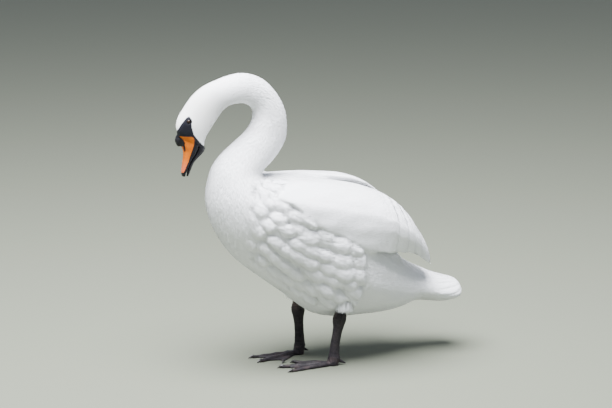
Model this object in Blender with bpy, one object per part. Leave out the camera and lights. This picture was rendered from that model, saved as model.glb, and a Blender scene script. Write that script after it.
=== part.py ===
"""Mute swan standing with its neck arched and its head turned a little to its right.

Metres, +Z up, the breast towards -Y and the swan's left side towards +X. The soles stand on z = 0.
"""

import math

import bmesh
import bpy
import numpy as np
from mathutils import Matrix, Vector

# Driving dimensions
MM = 0.001
GAP = 0.0003  # clearance between pieces that meet
STAND_Y = -0.0035  # the left shank's place along Y, which centres the swan's box on the origin
RING_POINTS = 24
BODY_STEPS = 2  # rings from one row of the long body to the next
BILL_POINTS = 14
BILL_STEPS = 2
WING_STEPS = 2
LEG_POINTS = 14
TOE_POINTS = 8
NECK_PIVOT = (0.0, -0.210)  # plan position of the vertical line that the head is turned about
SHANK_X = 0.071
SHANK_Y = {"left": 0.0, "right": -0.030}
SHANK_LEAN = {"left": 0.014, "right": -0.004}  # how far the ankle lies behind the foot
TOE_IN = {"left": 12.0, "right": 20.0}
KNEE_CUT = 0.139  # height at which the feathered thigh ends
SOLE_CUT = 0.021  # height at which the shank meets the foot
EYE_RADIUS = 0.0062
EYE_PLACE = (0.0232, -0.343, 0.617)  # half distance between the eyes' centres, then y and z
FAR_WING_LIFT = 0.013  # the right wing is held a little higher than the left
KNOB_PLACE = (-0.3655, 0.566)
KNOB_SIZE = (0.0100, 0.0095, 0.0135)
KNOB_LEAN = 8.0
NAIL_ROW = 6  # the row of the upper bill where its nail begins

# Rows of the long body, in millimetres, from the forehead to the rump. A row is the back point (y, z),
# the front or belly point (y, z), half the width, how far up from the belly the widest place lies,
# the roundness of the back and of the belly (2 is an ellipse), and the turn of the head in degrees.
HEAD_ROWS = [
    (-367, 579, -302, 548, 19, 0.55, 2.0, 2.2, 18),
    (-374, 597, -303, 563, 25, 0.55, 2.0, 2.2, 18),
    (-371, 619, -294, 582, 30, 0.52, 2.0, 2.1, 18),
    (-358, 644, -283, 600, 33, 0.50, 2.0, 2.0, 18),
    (-338, 674, -270, 621, 34, 0.50, 2.0, 2.0, 17),
    (-311, 699, -258, 639, 34, 0.50, 2.0, 2.0, 15),
]
NECK_ROWS = [
    (-276, 716, -245, 650, 33, 0.50, 2.0, 2.0, 10),
    (-243, 727, -226, 655, 33, 0.50, 2.0, 2.0, 5),
    (-205, 731, -206, 653, 33, 0.50, 2.0, 2.0, 0),
    (-158, 714, -189, 643, 34, 0.50, 2.0, 2.0, 0),
    (-121, 675, -183, 626, 36, 0.50, 2.0, 2.0, 0),
    (-100, 632, -188, 607, 39, 0.50, 2.0, 2.0, 0),
    (-95, 580, -206, 584, 43, 0.50, 2.0, 2.0, 0),
    (-108, 545, -236, 561, 49, 0.50, 2.0, 2.0, 0),
    (-136, 510, -268, 535, 57, 0.50, 2.0, 2.0, 0),
    (-172, 482, -290, 503, 69, 0.50, 2.0, 2.0, 0),
]
TRUNK_ROWS = [
    (-158, 477, -301, 462, 85, 0.50, 2.0, 2.0, 0),
    (-124, 477, -305, 420, 105, 0.50, 2.0, 2.0, 0),
    (-82, 475, -296, 376, 123, 0.50, 2.1, 2.0, 0),
    (-42, 469, -275, 327, 136, 0.50, 2.1, 2.0, 0),
    (0, 452, -237, 274, 144, 0.50, 2.2, 1.9, 0),
    (45, 432, -176, 224, 149, 0.50, 2.2, 1.8, 0),
    (88, 404, -106, 173, 150, 0.48, 2.2, 1.7, 0),
    (125, 368, -38, 120, 146, 0.46, 2.2, 1.55, 0),
    (155, 325, 30, 103, 134, 0.46, 2.2, 1.5, 0),
    (180, 284, 92, 103, 116, 0.46, 2.2, 1.6, 0),
    (205, 250, 152, 105, 94, 0.48, 2.1, 1.8, 0),
    (235, 230, 205, 114, 76, 0.50, 2.0, 2.0, 0),
]
TAIL_ROWS = [
    (262, 216, 245, 128, 70, 0.45, 1.8, 1.8, 0),
    (294, 200, 288, 122, 72, 0.42, 1.7, 1.7, 0),
    (324, 189, 326, 120, 69, 0.38, 1.7, 1.7, 0),
    (350, 181, 352, 123, 58, 0.36, 1.7, 1.7, 0),
    (366, 174, 367, 127, 42, 0.38, 1.7, 1.7, 0),
    (374, 164, 374, 134, 24, 0.45, 1.8, 1.8, 0),
]
BODY_ROWS = HEAD_ROWS + NECK_ROWS + TRUNK_ROWS + TAIL_ROWS
LENGTH_STARTS = {  # the row of the long body where each length begins
    "head": 0,
    "neck_top": 6,
    "neck_arch": 8,
    "neck_middle": 11,
    "neck_base": 13,
    "breast": 16,
    "trunk": 19,
    "rump": 24,
    "tail": 28,
}
BILL_TOP_ROWS = [
    (-366, 578, -318, 555, 18.5, 0.30, 2.0, 5.0, 18),
    (-363, 560, -321, 545, 18.0, 0.30, 2.0, 5.0, 18),
    (-357, 545, -326, 535, 16.5, 0.25, 2.0, 5.0, 18),
    (-356, 530, -335, 522, 15.0, 0.25, 2.0, 5.0, 18),
    (-358, 514, -341, 510, 14.5, 0.25, 2.0, 5.0, 18),
    (-360, 499, -346, 496, 14.5, 0.25, 2.0, 4.0, 18),
    (-361, 488, -350, 486, 12.5, 0.30, 2.0, 3.0, 18),
    (-359, 480, -351, 479, 6.5, 0.40, 2.0, 2.5, 18),
]
BILL_LOW_ROWS = [
    (-316.5, 554.5, -302, 547.5, 15.5, 0.75, 5.0, 2.0, 18),
    (-319.5, 544, -306, 539, 14.5, 0.75, 5.0, 2.0, 18),
    (-324.5, 534, -314, 530, 13.0, 0.75, 5.0, 2.0, 18),
    (-333.5, 521, -326, 518, 12.0, 0.75, 5.0, 2.0, 18),
    (-339.3, 509, -333, 507, 11.5, 0.75, 4.0, 2.0, 18),
    (-344, 495.5, -338, 494, 11.0, 0.70, 3.0, 2.0, 18),
    (-347, 486, -342, 484.5, 9.0, 0.60, 2.5, 2.0, 18),
    (-348, 480, -344, 479.5, 4.5, 0.50, 2.0, 2.0, 18),
]
# Rows of a folded wing, in millimetres: y, then (x, z) of its inner edge over the back, of its ridge,
# of its widest bulge and of its lower edge, and the shell's thickness.
WING_ROWS = [
    (-198, 44, 446, 64, 440, 90, 424, 96, 408, 8),
    (-172, 36, 466, 80, 462, 120, 440, 130, 412, 24),
    (-120, 26, 472, 87, 467, 142, 432, 149, 388, 30),
    (-60, 20, 468, 90, 463, 153, 418, 157, 354, 32),
    (0, 14, 460, 92, 454, 160, 402, 158, 322, 32),
    (60, 10, 447, 92, 442, 164, 388, 153, 292, 30),
    (110, 7, 431, 90, 428, 162, 372, 145, 284, 24),
    (150, 6, 405, 86, 408, 152, 350, 134, 279, 18),
    (188, 6, 366, 79, 376, 136, 326, 118, 271, 14),
    (218, 8, 326, 71, 338, 115, 298, 103, 256, 12),
    (246, 12, 286, 60, 296, 90, 270, 85, 237, 10),
    (266, 26, 248, 46, 251, 66, 243, 66, 232, 7),
]
WING_EDGE = 3.0  # thickness towards the edges of the shell, in millimetres
WING_SWELL = (0.12, 0.92)  # the part of a half wave that the thickness follows across the shell
LIFT_FROM = -90.0  # the lifted wing rises from here
LIFT_FULL = 80.0
WING_SPLIT_Y = 0.122  # behind this the wing is its long flight feathers

# Rows of a shank: height, share of the lean, half width, half depth.
SHANK_ROWS = [
    (SOLE_CUT, 0.00, 0.0115, 0.0155),
    (0.030, 0.00, 0.0092, 0.0132),
    (0.055, 0.20, 0.0078, 0.0120),
    (0.080, 0.55, 0.0080, 0.0122),
    (0.097, 0.85, 0.0096, 0.0142),
    (0.110, 1.00, 0.0120, 0.0176),
    (0.119, 1.05, 0.0124, 0.0180),
    (0.128, 1.15, 0.0110, 0.0148),
    (KNEE_CUT - GAP, 1.25, 0.0100, 0.0132),
]
# Rows of a thigh: height, offset towards the tail, half width, half depth.
THIGH_ROWS = [
    (KNEE_CUT, 0.000, 0.0150, 0.0170),
    (0.148, 0.001, 0.0230, 0.0235),
    (0.162, 0.004, 0.0300, 0.0310),
    (0.180, 0.010, 0.0340, 0.0390),
    (0.215, 0.018, 0.0340, 0.0450),
]
THIGH_SPREAD = 0.30  # how fast the thighs part as they rise

# Toes: angle outwards in degrees, length to the claw's root, radius at the root, number of joints.
TOES = {
    "inner": (-23.0, 0.100, 0.0072, 2),
    "middle": (1.0, 0.132, 0.0080, 3),
    "outer": (22.0, 0.126, 0.0070, 4),
}
CLAW_LENGTH = 0.012
WEB_REACH = 0.92  # the web's edge, as a share of each toe's length
WEB_HOLLOW = 0.16
WEB_STEPS = 5
WEB_LOW = 0.0008
WEB_THICK = 0.0028
# Rows of the foot's hub: height, half width, half depth, shift along Y.
HUB_ROWS = [
    (0.0, 0.0120, 0.0130, -0.004),
    (0.004, 0.0135, 0.0150, -0.004),
    (0.010, 0.0130, 0.0150, -0.003),
    (0.016, 0.0122, 0.0155, -0.001),
    (SOLE_CUT - GAP, 0.0115, 0.0155, 0.000),
]
HIND_LENGTH = 0.026
HIND_RADIUS = 0.0048
HIND_HEIGHT = 0.0160

COLOURS = {
    "white": (0.86, 0.87, 0.92, 0.75, 0.0),
    "black_skin": (0.015, 0.015, 0.018, 0.45, 0.0),
    "orange_horn": (0.80, 0.30, 0.03, 0.38, 0.0),
    "leg_skin": (0.030, 0.026, 0.030, 0.50, 0.0),
    "eye": (0.012, 0.008, 0.006, 0.06, 0.0),
}


def clear_scene():
    for obj in list(bpy.data.objects):
        bpy.data.objects.remove(obj, do_unlink=True)


def new_collection(name):
    made = bpy.data.collections.new(name)
    bpy.context.scene.collection.children.link(made)
    return made


def material(name):
    found = bpy.data.materials.get(name)
    if found:
        return found
    red, green, blue, roughness, metallic = COLOURS[name]
    made = bpy.data.materials.new(name)
    made.use_nodes = True
    shader = made.node_tree.nodes["Principled BSDF"]
    shader.inputs["Base Color"].default_value = (red, green, blue, 1)
    shader.inputs["Roughness"].default_value = roughness
    shader.inputs["Metallic"].default_value = metallic
    made.diffuse_color = (red, green, blue, 1)
    return made


def spline_rows(rows, steps):
    """Rows that pass smoothly through the given ones, with this many steps between neighbours."""
    rows = np.array(rows, float)
    before = np.vstack([2 * rows[0] - rows[1], rows, 2 * rows[-1] - rows[-2]])
    made = []
    for i in range(1, len(before) - 2):
        a, b, c, d = before[i - 1 : i + 3]
        for k in range(steps):
            t = k / steps
            made.append(
                b
                + 0.5 * t * (c - a)
                + t * t * (a - 2.5 * b + 2 * c - 0.5 * d)
                + t**3 * (1.5 * (b - c) + 0.5 * (d - a))
            )
    made.append(rows[-1])
    return made


def rounded(value, roundness):
    return math.copysign(abs(value) ** (2 / roundness), value)


def turned(point, angle=HEAD_ROWS[0][-1]):
    """A point given in the bird's own middle plane, swung round with the head and put in its place."""
    swing = Matrix.Rotation(math.radians(-angle), 3, "Z")
    pivot = Vector((*NECK_PIVOT, 0))
    return swing @ (Vector(point) - pivot) + pivot + Vector((0, STAND_Y, 0))


def body_ring(row, points=RING_POINTS):
    """One flat ring of the long body, from a row's back and belly points."""
    back_y, back_z, belly_y, belly_z, width, widest, round_back, round_belly, turn = row
    back = np.array([back_y, back_z]) * MM
    belly = np.array([belly_y, belly_z]) * MM
    middle = belly + widest * (back - belly)
    ring = []
    for k in range(points):
        angle = 2 * math.pi * k / points
        roundness = round_back if math.sin(angle) > 0 else round_belly
        across = width * MM * rounded(math.cos(angle), roundness)
        up = rounded(math.sin(angle), roundness)
        y, z = middle + up * (back - middle if up > 0 else middle - belly)
        ring.append(turned((across, y, z), turn))
    return ring


def flat_ring(x, y, z, half_x, half_y, points, roundness=2.0):
    """One level ring round (x, y) at height z."""
    ring = []
    for k in range(points):
        angle = 2 * math.pi * k / points
        across = half_x * rounded(math.cos(angle), roundness)
        along = half_y * rounded(math.sin(angle), roundness)
        ring.append(Vector((x + across, y + along, z)))
    return ring


def centre(ring):
    return sum(ring, Vector()) / len(ring)


def drawn_in(ring, neighbour, distance):
    """The ring moved along its own normal, towards its neighbour."""
    normal = (ring[1] - ring[0]).cross(ring[len(ring) // 3] - ring[0]).normalized()
    step = math.copysign(distance, normal.dot(centre(neighbour) - centre(ring)))
    return [point + normal * step for point in ring]


def loft(name, rings, finish, collection, smooth_angle=40):
    """A closed solid through rings of equal length, with flat ends."""
    bm = bmesh.new()
    made = [[bm.verts.new(point) for point in ring] for ring in rings]
    count = len(rings[0])
    for near, far in zip(made, made[1:]):
        for k in range(count):
            after = (k + 1) % count
            bm.faces.new((near[k], near[after], far[after]))
            bm.faces.new((near[k], far[after], far[k]))
    bm.faces.new(made[0])
    bm.faces.new(made[-1])
    bmesh.ops.recalc_face_normals(bm, faces=bm.faces)
    return finished(name, bm, finish, collection, smooth_angle)


def finished(name, bm, finish, collection, smooth_angle=40):
    mesh = bpy.data.meshes.new(name)
    bm.to_mesh(mesh)
    bm.free()
    mesh.materials.append(material(finish))
    mesh.shade_smooth()
    mesh.set_sharp_from_angle(angle=math.radians(smooth_angle))
    obj = bpy.data.objects.new(name, mesh)
    collection.objects.link(obj)
    if collection.name == "cutters":
        obj.hide_render = True
        obj.display_type = "WIRE"
    return obj


def inflated(obj, name, distance, cutters):
    """A cutter that stands off this object's surface by the distance."""
    bm = bmesh.new()
    bm.from_mesh(obj.data)
    bm.normal_update()
    moves = [vert.normal * distance for vert in bm.verts]
    for vert, move in zip(bm.verts, moves):
        vert.co += move
    return finished(name, bm, "white", cutters)


def boolean(obj, other, operation):
    made = obj.modifiers.new(operation.lower() + "_" + other.name, "BOOLEAN")
    made.operation = operation
    made.object = other
    made.solver = "EXACT"


def body_lengths(swan, cutters):
    """The head, neck, trunk and tail, parted with thin cuts out of one smooth form."""
    rings = [body_ring(row) for row in spline_rows(BODY_ROWS, BODY_STEPS)]
    names = list(LENGTH_STARTS)
    starts = [BODY_STEPS * LENGTH_STARTS[name] for name in names]
    made = {}
    for name, first, last in zip(names, starts, starts[1:] + [len(rings) - 1]):
        part = rings[first : last + 1]
        if first > 0:
            part[0] = drawn_in(part[0], part[1], GAP / 2)
        if last < len(rings) - 1:
            part[-1] = drawn_in(part[-1], part[-2], GAP / 2)
        made[name] = loft(name, part, "white", swan)
    form = loft("body_form", rings[starts[names.index("neck_base")] :], "white", cutters)
    return made, inflated(form, "body_cutter", GAP, cutters)


def wing_ring(row, mirror, lift):
    """One C-shaped ring of a wing shell: over the ridge, round the bulge, and back along its inside."""
    y, inner_x, inner_z, ridge_x, ridge_z, bulge_x, bulge_z, low_x, low_z, thick = row
    corners = [(inner_x, inner_z), (ridge_x, ridge_z), (bulge_x, bulge_z), (low_x, low_z)]
    outside = [np.array(point) for point in spline_rows(corners, 3)]
    tangents = np.gradient(np.array(outside), axis=0)
    normals = np.stack([tangents[:, 1], -tangents[:, 0]], 1)
    normals /= np.linalg.norm(normals, axis=1)[:, None]
    share = np.linspace(0, 1, len(outside))
    swell = np.sin(math.pi * (WING_SWELL[0] + share * (WING_SWELL[1] - WING_SWELL[0])))
    depth = WING_EDGE + (thick - WING_EDGE) * swell
    inside = [point + normal * d for point, normal, d in zip(outside, normals, depth)]
    ring = []
    lift *= min(1.0, max(0.0, (y - LIFT_FROM) / (LIFT_FULL - LIFT_FROM)))
    for x, z in outside + inside[::-1]:
        ring.append(Vector((mirror * x * MM, y * MM + STAND_Y, z * MM + lift)))
    return ring


def wing(word, mirror, lift, swan, body_cutter):
    rings = [wing_ring(row, mirror, lift) for row in spline_rows(WING_ROWS, WING_STEPS)]
    split = min(range(len(rings)), key=lambda i: abs(rings[i][0].y - STAND_Y - WING_SPLIT_Y))
    back = Vector((0, GAP / 2, 0))
    front_rings = rings[:split] + [[point - back for point in rings[split]]]
    rear_rings = [[point + back for point in rings[split]]] + rings[split + 1 :]
    for name, part in (("wing_" + word, front_rings), ("flight_feathers_" + word, rear_rings)):
        made = loft(name, part, "white", swan)
        boolean(made, body_cutter, "DIFFERENCE")


def eye(word, mirror, head, swan, cutters):
    half, y, z = EYE_PLACE
    place = turned((mirror * half, y, z))
    for name, grow, collection in (("eye_" + word, 0, swan), ("socket_" + word, GAP, cutters)):
        bm = bmesh.new()
        bmesh.ops.create_uvsphere(bm, u_segments=12, v_segments=7, radius=EYE_RADIUS + grow)
        bmesh.ops.translate(bm, vec=place, verts=bm.verts)
        made = finished(name, bm, "eye", collection)
    boolean(head, made, "DIFFERENCE")


def knob_form(name, grow, collection):
    """The fleshy knob over the bill's root, as a turned bulb leaning on the forehead."""
    bm = bmesh.new()
    bmesh.ops.create_uvsphere(bm, u_segments=14, v_segments=8, radius=1.0)
    y, z = KNOB_PLACE
    half_x, half_y, half_z = KNOB_SIZE
    for vert in bm.verts:
        droop = 1.0 + 0.18 * vert.co.z  # broader where it meets the forehead
        vert.co.x *= (half_x + grow) * droop
        vert.co.y *= half_y + grow
        vert.co.z *= half_z + grow
    bmesh.ops.rotate(bm, matrix=Matrix.Rotation(math.radians(KNOB_LEAN), 3, "X"), verts=bm.verts)
    bmesh.ops.translate(bm, vec=(0, y, z), verts=bm.verts)
    for vert in bm.verts:
        vert.co = turned(vert.co)
    return finished(name, bm, "black_skin", collection)


def bill(swan, cutters, head):
    """The two halves of the bill, the knob over its root and the nail at its tip."""
    upper = [body_ring(row, BILL_POINTS) for row in spline_rows(BILL_TOP_ROWS, BILL_STEPS)]
    lower = [body_ring(row, BILL_POINTS) for row in spline_rows(BILL_LOW_ROWS, BILL_STEPS)]
    upper[0] = drawn_in(upper[0], upper[1], GAP)
    lower[0] = drawn_in(lower[0], lower[1], GAP)
    nail_from = BILL_STEPS * NAIL_ROW
    main = upper[: nail_from + 1]
    nail = upper[nail_from:]
    nail[0] = drawn_in(nail[0], nail[1], GAP)
    top = loft("bill_upper", main, "orange_horn", swan)
    loft("bill_lower", lower, "black_skin", swan)
    loft("bill_nail", nail, "black_skin", swan)
    knob = knob_form("bill_knob", 0.0, swan)
    for other in (top, head):
        boolean(knob, inflated(other, other.name + "_cutter", GAP, cutters), "DIFFERENCE")


def leg(word, mirror, swan, cutters, body_cutter):
    """The feathered thigh and the bare shank below it."""
    x = mirror * SHANK_X
    y = SHANK_Y[word] + STAND_Y
    lean = SHANK_LEAN[word]
    shank = []
    for z, share, wide, deep in SHANK_ROWS:
        shank.append(flat_ring(x, y + share * lean, z, wide, deep, LEG_POINTS))
    boolean(loft("shank_" + word, shank, "leg_skin", swan), body_cutter, "DIFFERENCE")
    y += lean * SHANK_ROWS[-1][1]
    thigh = []
    for z, shift, wide, deep in THIGH_ROWS:
        spread = mirror * THIGH_SPREAD * (z - KNEE_CUT)
        thigh.append(flat_ring(x + spread, y + shift, z, wide, deep, LEG_POINTS))
    made = loft("thigh_" + word, thigh, "white", swan)
    boolean(made, body_cutter, "DIFFERENCE")


def toe_rings(angle, length, radius, joints):
    """Rings of one toe with its claw, with a pad under each joint and a flat sole at z = 0."""
    heading = Vector((math.sin(angle), -math.cos(angle), 0))
    across = Vector((math.cos(angle), math.sin(angle), 0))
    rings = []
    steps = 2 * joints + 5
    for i in range(steps + 1):
        along = i / steps
        reach = along * (length + CLAW_LENGTH)
        share = min(1.0, reach / length)
        size = radius * (1.0 - 0.42 * share)
        size *= 1.0 + 0.10 * math.cos(2 * math.pi * joints * share)
        if reach > length:
            size *= max(0.16, 1.0 - 0.92 * (reach - length) / CLAW_LENGTH)
        middle = heading * reach + Vector((0, 0, size * 0.72))
        ring = []
        for k in range(TOE_POINTS):
            turn = 2 * math.pi * (k + 0.5) / TOE_POINTS
            point = middle + across * (size * math.cos(turn))
            point.z = max(point.z + 0.95 * size * math.sin(turn), 0.0)
            ring.append(point)
        rings.append(ring)
    return rings


def web_form(name, toes, collection):
    """The web between the front toes: a sheet with hollowed front edges."""
    tips = []
    for angle, length, _, _ in toes:
        tips.append(Vector((math.sin(angle), -math.cos(angle), 0)) * length * WEB_REACH)
    rim = [Vector((-0.004, 0.006, 0)), tips[0]]
    for near, far in zip(tips, tips[1:]):
        for k in range(1, WEB_STEPS + 1):
            share = k / WEB_STEPS
            hollow = 1.0 - WEB_HOLLOW * math.sin(math.pi * share)
            rim.append(near.lerp(far, share) * hollow)
    rim.append(Vector((0.004, 0.006, 0)))
    bm = bmesh.new()
    low = [bm.verts.new(point + Vector((0, 0, WEB_LOW))) for point in rim]
    high = [bm.verts.new(point + Vector((0, 0, WEB_LOW + WEB_THICK))) for point in rim]
    low_hub = bm.verts.new((0, -0.004, WEB_LOW))
    high_hub = bm.verts.new((0, -0.004, WEB_LOW + WEB_THICK + 0.002))
    for i in range(len(rim)):
        j = (i + 1) % len(rim)
        bm.faces.new((low[i], low[j], high[j], high[i]))
        bm.faces.new((high[i], high[j], high_hub))
        bm.faces.new((low[j], low[i], low_hub))
    bmesh.ops.recalc_face_normals(bm, faces=bm.faces)
    return finished(name, bm, "leg_skin", collection)


def foot(word, mirror, swan, cutters):
    """A webbed foot: hub, three front toes, web and the small raised hind toe, as one solid."""
    toes = [(math.radians(angle) * mirror, *rest) for angle, *rest in TOES.values()]
    made = web_form("foot_" + word, toes, swan)
    added = []
    for toe_name, (angle, length, radius, joints) in zip(TOES, toes):
        rings = toe_rings(angle, length, radius, joints)
        added.append(loft("toe_" + toe_name + "_" + word, rings, "leg_skin", cutters))
    hub = []
    for z, wide, deep, shift in HUB_ROWS:
        hub.append(flat_ring(0, shift, z, wide, deep, LEG_POINTS))
    added.append(loft("hub_" + word, hub, "leg_skin", cutters))
    hind = []
    for share in (0.0, 0.3, 0.6, 0.85, 1.0):
        size = HIND_RADIUS * (1 - 0.75 * share**2)
        place = Vector((0, 0.004 + HIND_LENGTH * share, HIND_HEIGHT * (1 - 0.75 * share)))
        ring = []
        for k in range(TOE_POINTS):
            turn = 2 * math.pi * k / TOE_POINTS
            ring.append(place + Vector((size * math.cos(turn), 0, size * math.sin(turn))))
        hind.append(ring)
    added.append(loft("hind_toe_" + word, hind, "leg_skin", cutters))
    place = Matrix.Translation((mirror * SHANK_X, SHANK_Y[word] + STAND_Y, 0))
    place = place @ Matrix.Rotation(math.radians(-mirror * TOE_IN[word]), 4, "Z")
    for piece in [made] + added:
        piece.data.transform(place)
    for piece in added:
        boolean(made, piece, "UNION")


def main():
    clear_scene()
    swan = new_collection("mute_swan")
    cutters = new_collection("cutters")
    lengths, body_cutter = body_lengths(swan, cutters)
    bill(swan, cutters, lengths["head"])
    for word, mirror, lift in (("left", 1, 0.0), ("right", -1, FAR_WING_LIFT)):
        wing(word, mirror, lift, swan, body_cutter)
        eye(word, mirror, lengths["head"], swan, cutters)
        leg(word, mirror, swan, cutters, body_cutter)
        foot(word, mirror, swan, cutters)


main()
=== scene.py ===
import math

import bmesh
import bpy
import numpy as np
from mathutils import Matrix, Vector
from mathutils.bvhtree import BVHTree
from mathutils.kdtree import KDTree


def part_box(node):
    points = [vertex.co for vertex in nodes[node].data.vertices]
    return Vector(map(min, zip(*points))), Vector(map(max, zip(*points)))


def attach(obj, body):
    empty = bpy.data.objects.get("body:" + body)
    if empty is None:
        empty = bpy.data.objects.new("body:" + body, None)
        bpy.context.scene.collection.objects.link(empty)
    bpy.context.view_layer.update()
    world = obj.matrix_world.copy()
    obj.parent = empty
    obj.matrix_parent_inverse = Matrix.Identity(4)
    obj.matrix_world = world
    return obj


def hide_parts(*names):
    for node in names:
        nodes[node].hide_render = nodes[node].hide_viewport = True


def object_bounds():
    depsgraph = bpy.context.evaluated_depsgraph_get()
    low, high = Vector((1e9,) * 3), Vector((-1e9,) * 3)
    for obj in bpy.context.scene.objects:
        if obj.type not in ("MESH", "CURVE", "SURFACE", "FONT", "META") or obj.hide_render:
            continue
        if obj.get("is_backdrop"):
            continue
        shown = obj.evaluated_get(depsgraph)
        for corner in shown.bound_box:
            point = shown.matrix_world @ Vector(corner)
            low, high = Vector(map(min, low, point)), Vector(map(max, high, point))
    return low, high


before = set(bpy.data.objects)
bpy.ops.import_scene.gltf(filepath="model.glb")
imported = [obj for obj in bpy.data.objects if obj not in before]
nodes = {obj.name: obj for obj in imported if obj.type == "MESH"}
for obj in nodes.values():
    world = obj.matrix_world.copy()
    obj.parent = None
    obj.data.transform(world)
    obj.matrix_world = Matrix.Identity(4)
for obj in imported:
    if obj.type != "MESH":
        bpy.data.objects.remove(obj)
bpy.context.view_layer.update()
mm = 0.001
print("frame loaded:", len(nodes), "solids")

fleshNodes = [
    "head", "neck_top", "neck_arch", "neck_middle", "neck_base", "breast", "trunk", "rump", "tail",
    "thigh_left", "thigh_right", "wing_left", "wing_right",
    "flight_feathers_left", "flight_feathers_right",
]
mirrors = {"left": 1, "right": -1}  # both sides of the body, with the sign of x on each


# Small tools for meshes and arrays.


def unit(vectors):
    return vectors / np.maximum(np.linalg.norm(vectors, axis=-1, keepdims=True), 1e-12)


def ramp(value, low, high):
    share = np.clip((value - low) / (high - low), 0, 1)
    return share * share * (3 - 2 * share)


def readAll(items, name, width, kind=np.float32):
    flat = np.empty(len(items) * width, kind)
    items.foreach_get(name, flat)
    return flat.reshape(-1, width)


def readPoints(mesh):
    return readAll(mesh.vertices, "co", 3).astype(float)


def readNormals(mesh):
    return readAll(mesh.vertices, "normal", 3).astype(float)


def readEdges(mesh):
    return readAll(mesh.edges, "vertices", 2, np.int32)


def readTriangles(mesh):
    # each triangle's three points, and its three corners in the mesh's own list
    mesh.calc_loop_triangles()
    return tuple(readAll(mesh.loop_triangles, name, 3, np.int32) for name in ("vertices", "loops"))


def writePoints(mesh, points):
    mesh.vertices.foreach_set("co", np.asarray(points, np.float32).ravel())
    mesh.update()


def meshFrom(name, points, faces):
    mesh = bpy.data.meshes.new(name)
    count = len(faces)
    mesh.vertices.add(len(points))
    mesh.vertices.foreach_set("co", np.asarray(points, np.float32).ravel())
    mesh.loops.add(count * 3)
    mesh.loops.foreach_set("vertex_index", np.asarray(faces, np.int32).ravel())
    mesh.polygons.add(count)
    mesh.polygons.foreach_set("loop_start", np.arange(0, count * 3, 3, dtype=np.int32))
    mesh.update(calc_edges=True)
    return mesh


def edited(mesh, change):
    bm = bmesh.new()
    bm.from_mesh(mesh)
    change(bm)
    bm.to_mesh(mesh)
    bm.free()
    return mesh


def raised(mesh, points, normals, rise):
    points = points + normals * rise[:, None]
    writePoints(mesh, points)
    mesh.shade_smooth()
    return points


def added(name, data):
    obj = bpy.data.objects.new(name, data)
    bpy.context.scene.collection.objects.link(obj)
    return obj


def placed(name, mesh, material, replaced=()):
    # one finished piece of the model
    obj = added(name, mesh)
    mesh.materials.clear()
    mesh.materials.append(material)
    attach(obj, "root")
    if replaced:
        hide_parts(*replaced)
    return obj


def setValues(mesh, name, values):
    layer = mesh.attributes.new(name, "FLOAT", "POINT")
    layer.data.foreach_set("value", np.asarray(values, np.float32).ravel())


def network(count, edges):
    both = np.vstack([edges, edges[:, ::-1]])
    both = both[np.argsort(both[:, 0], kind="stable")]
    starts = np.searchsorted(both[:, 0], np.arange(count))
    degree = np.bincount(both[:, 0], minlength=count).astype(float)
    return both[:, 1], starts, degree


def evened(values, net, rounds):
    others, starts, degree = net
    for _ in range(rounds):
        mean = np.add.reduceat(values[others], starts, axis=0) / degree[:, None]
        values = values + 0.5 * (mean - values)
    return values


def remeshed(sources, voxel, grow=0.0):
    # one closed mesh round copies of the named solids, each grown a little so that they merge
    bm = bmesh.new()
    for name in sources:
        part = nodes[name].data.copy()
        if grow:
            writePoints(part, readPoints(part) + readNormals(part) * grow)
        bm.from_mesh(part)
        bpy.data.meshes.remove(part)
    mesh = bpy.data.meshes.new("source")
    bm.to_mesh(mesh)
    bm.free()
    obj = added("source", mesh)
    step = obj.modifiers.new("voxels", "REMESH")
    step.mode = "VOXEL"
    step.voxel_size = voxel
    graph = bpy.context.evaluated_depsgraph_get()
    made = bpy.data.meshes.new_from_object(obj.evaluated_get(graph))
    bpy.data.objects.remove(obj)
    bpy.data.meshes.remove(mesh)
    return made


def polygonDistance(places, outline):
    # distance to a flat outline, negative inside it
    outline = np.array(outline, float)
    best = np.full(len(places), 1e9)
    inside = np.zeros(len(places), bool)
    for start, end in zip(outline, np.roll(outline, -1, axis=0)):
        along = end - start
        share = np.clip(((places - start) @ along) / (along @ along), 0, 1)
        best = np.minimum(best, np.linalg.norm(places - start - share[:, None] * along, axis=1))
        crosses = (start[1] > places[:, 1]) != (end[1] > places[:, 1])
        reach = start[0] + (places[:, 1] - start[1]) / (along[1] if along[1] else 1e-12) * along[0]
        inside ^= crosses & (places[:, 0] < reach)
    return np.where(inside, -best, best)


def waves(places, size, seed):
    # a smooth pattern from -1 to 1, by summed sines in seeded directions
    draw = np.random.default_rng(seed)
    total = np.zeros(len(places))
    for _ in range(7):
        direction = draw.normal(size=3)
        direction *= 2 * math.pi / (size * np.linalg.norm(direction) * draw.uniform(0.7, 1.4))
        total += np.sin(places @ direction + draw.uniform(0, 2 * math.pi))
    return total / 2.6


# The head's own axes, from the two eyes of the frame.

eyeBoxes = {side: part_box("eye_" + side) for side in mirrors}
eyeCentres = {side: (low + high) / 2 for side, (low, high) in eyeBoxes.items()}
eyeSize = (eyeBoxes["left"][1].z - eyeBoxes["left"][0].z) / 2
headOrigin = np.array((eyeCentres["left"] + eyeCentres["right"]) / 2)
headAcross = unit(np.array(eyeCentres["left"] - eyeCentres["right"]))
headUp = np.array([0.0, 0.0, 1.0])
headAhead = np.cross(headAcross, headUp) * -1
if headAhead[1] > 0:
    headAhead = -headAhead
headAxes = np.stack([headAcross, headAhead, headUp])


def headPlaces(points):
    # across, ahead and up from the middle between the eyes
    return (points - headOrigin) @ headAxes.T


def headPoint(across, ahead, up):
    return headOrigin + np.array([across, ahead, up]) @ headAxes


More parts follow.
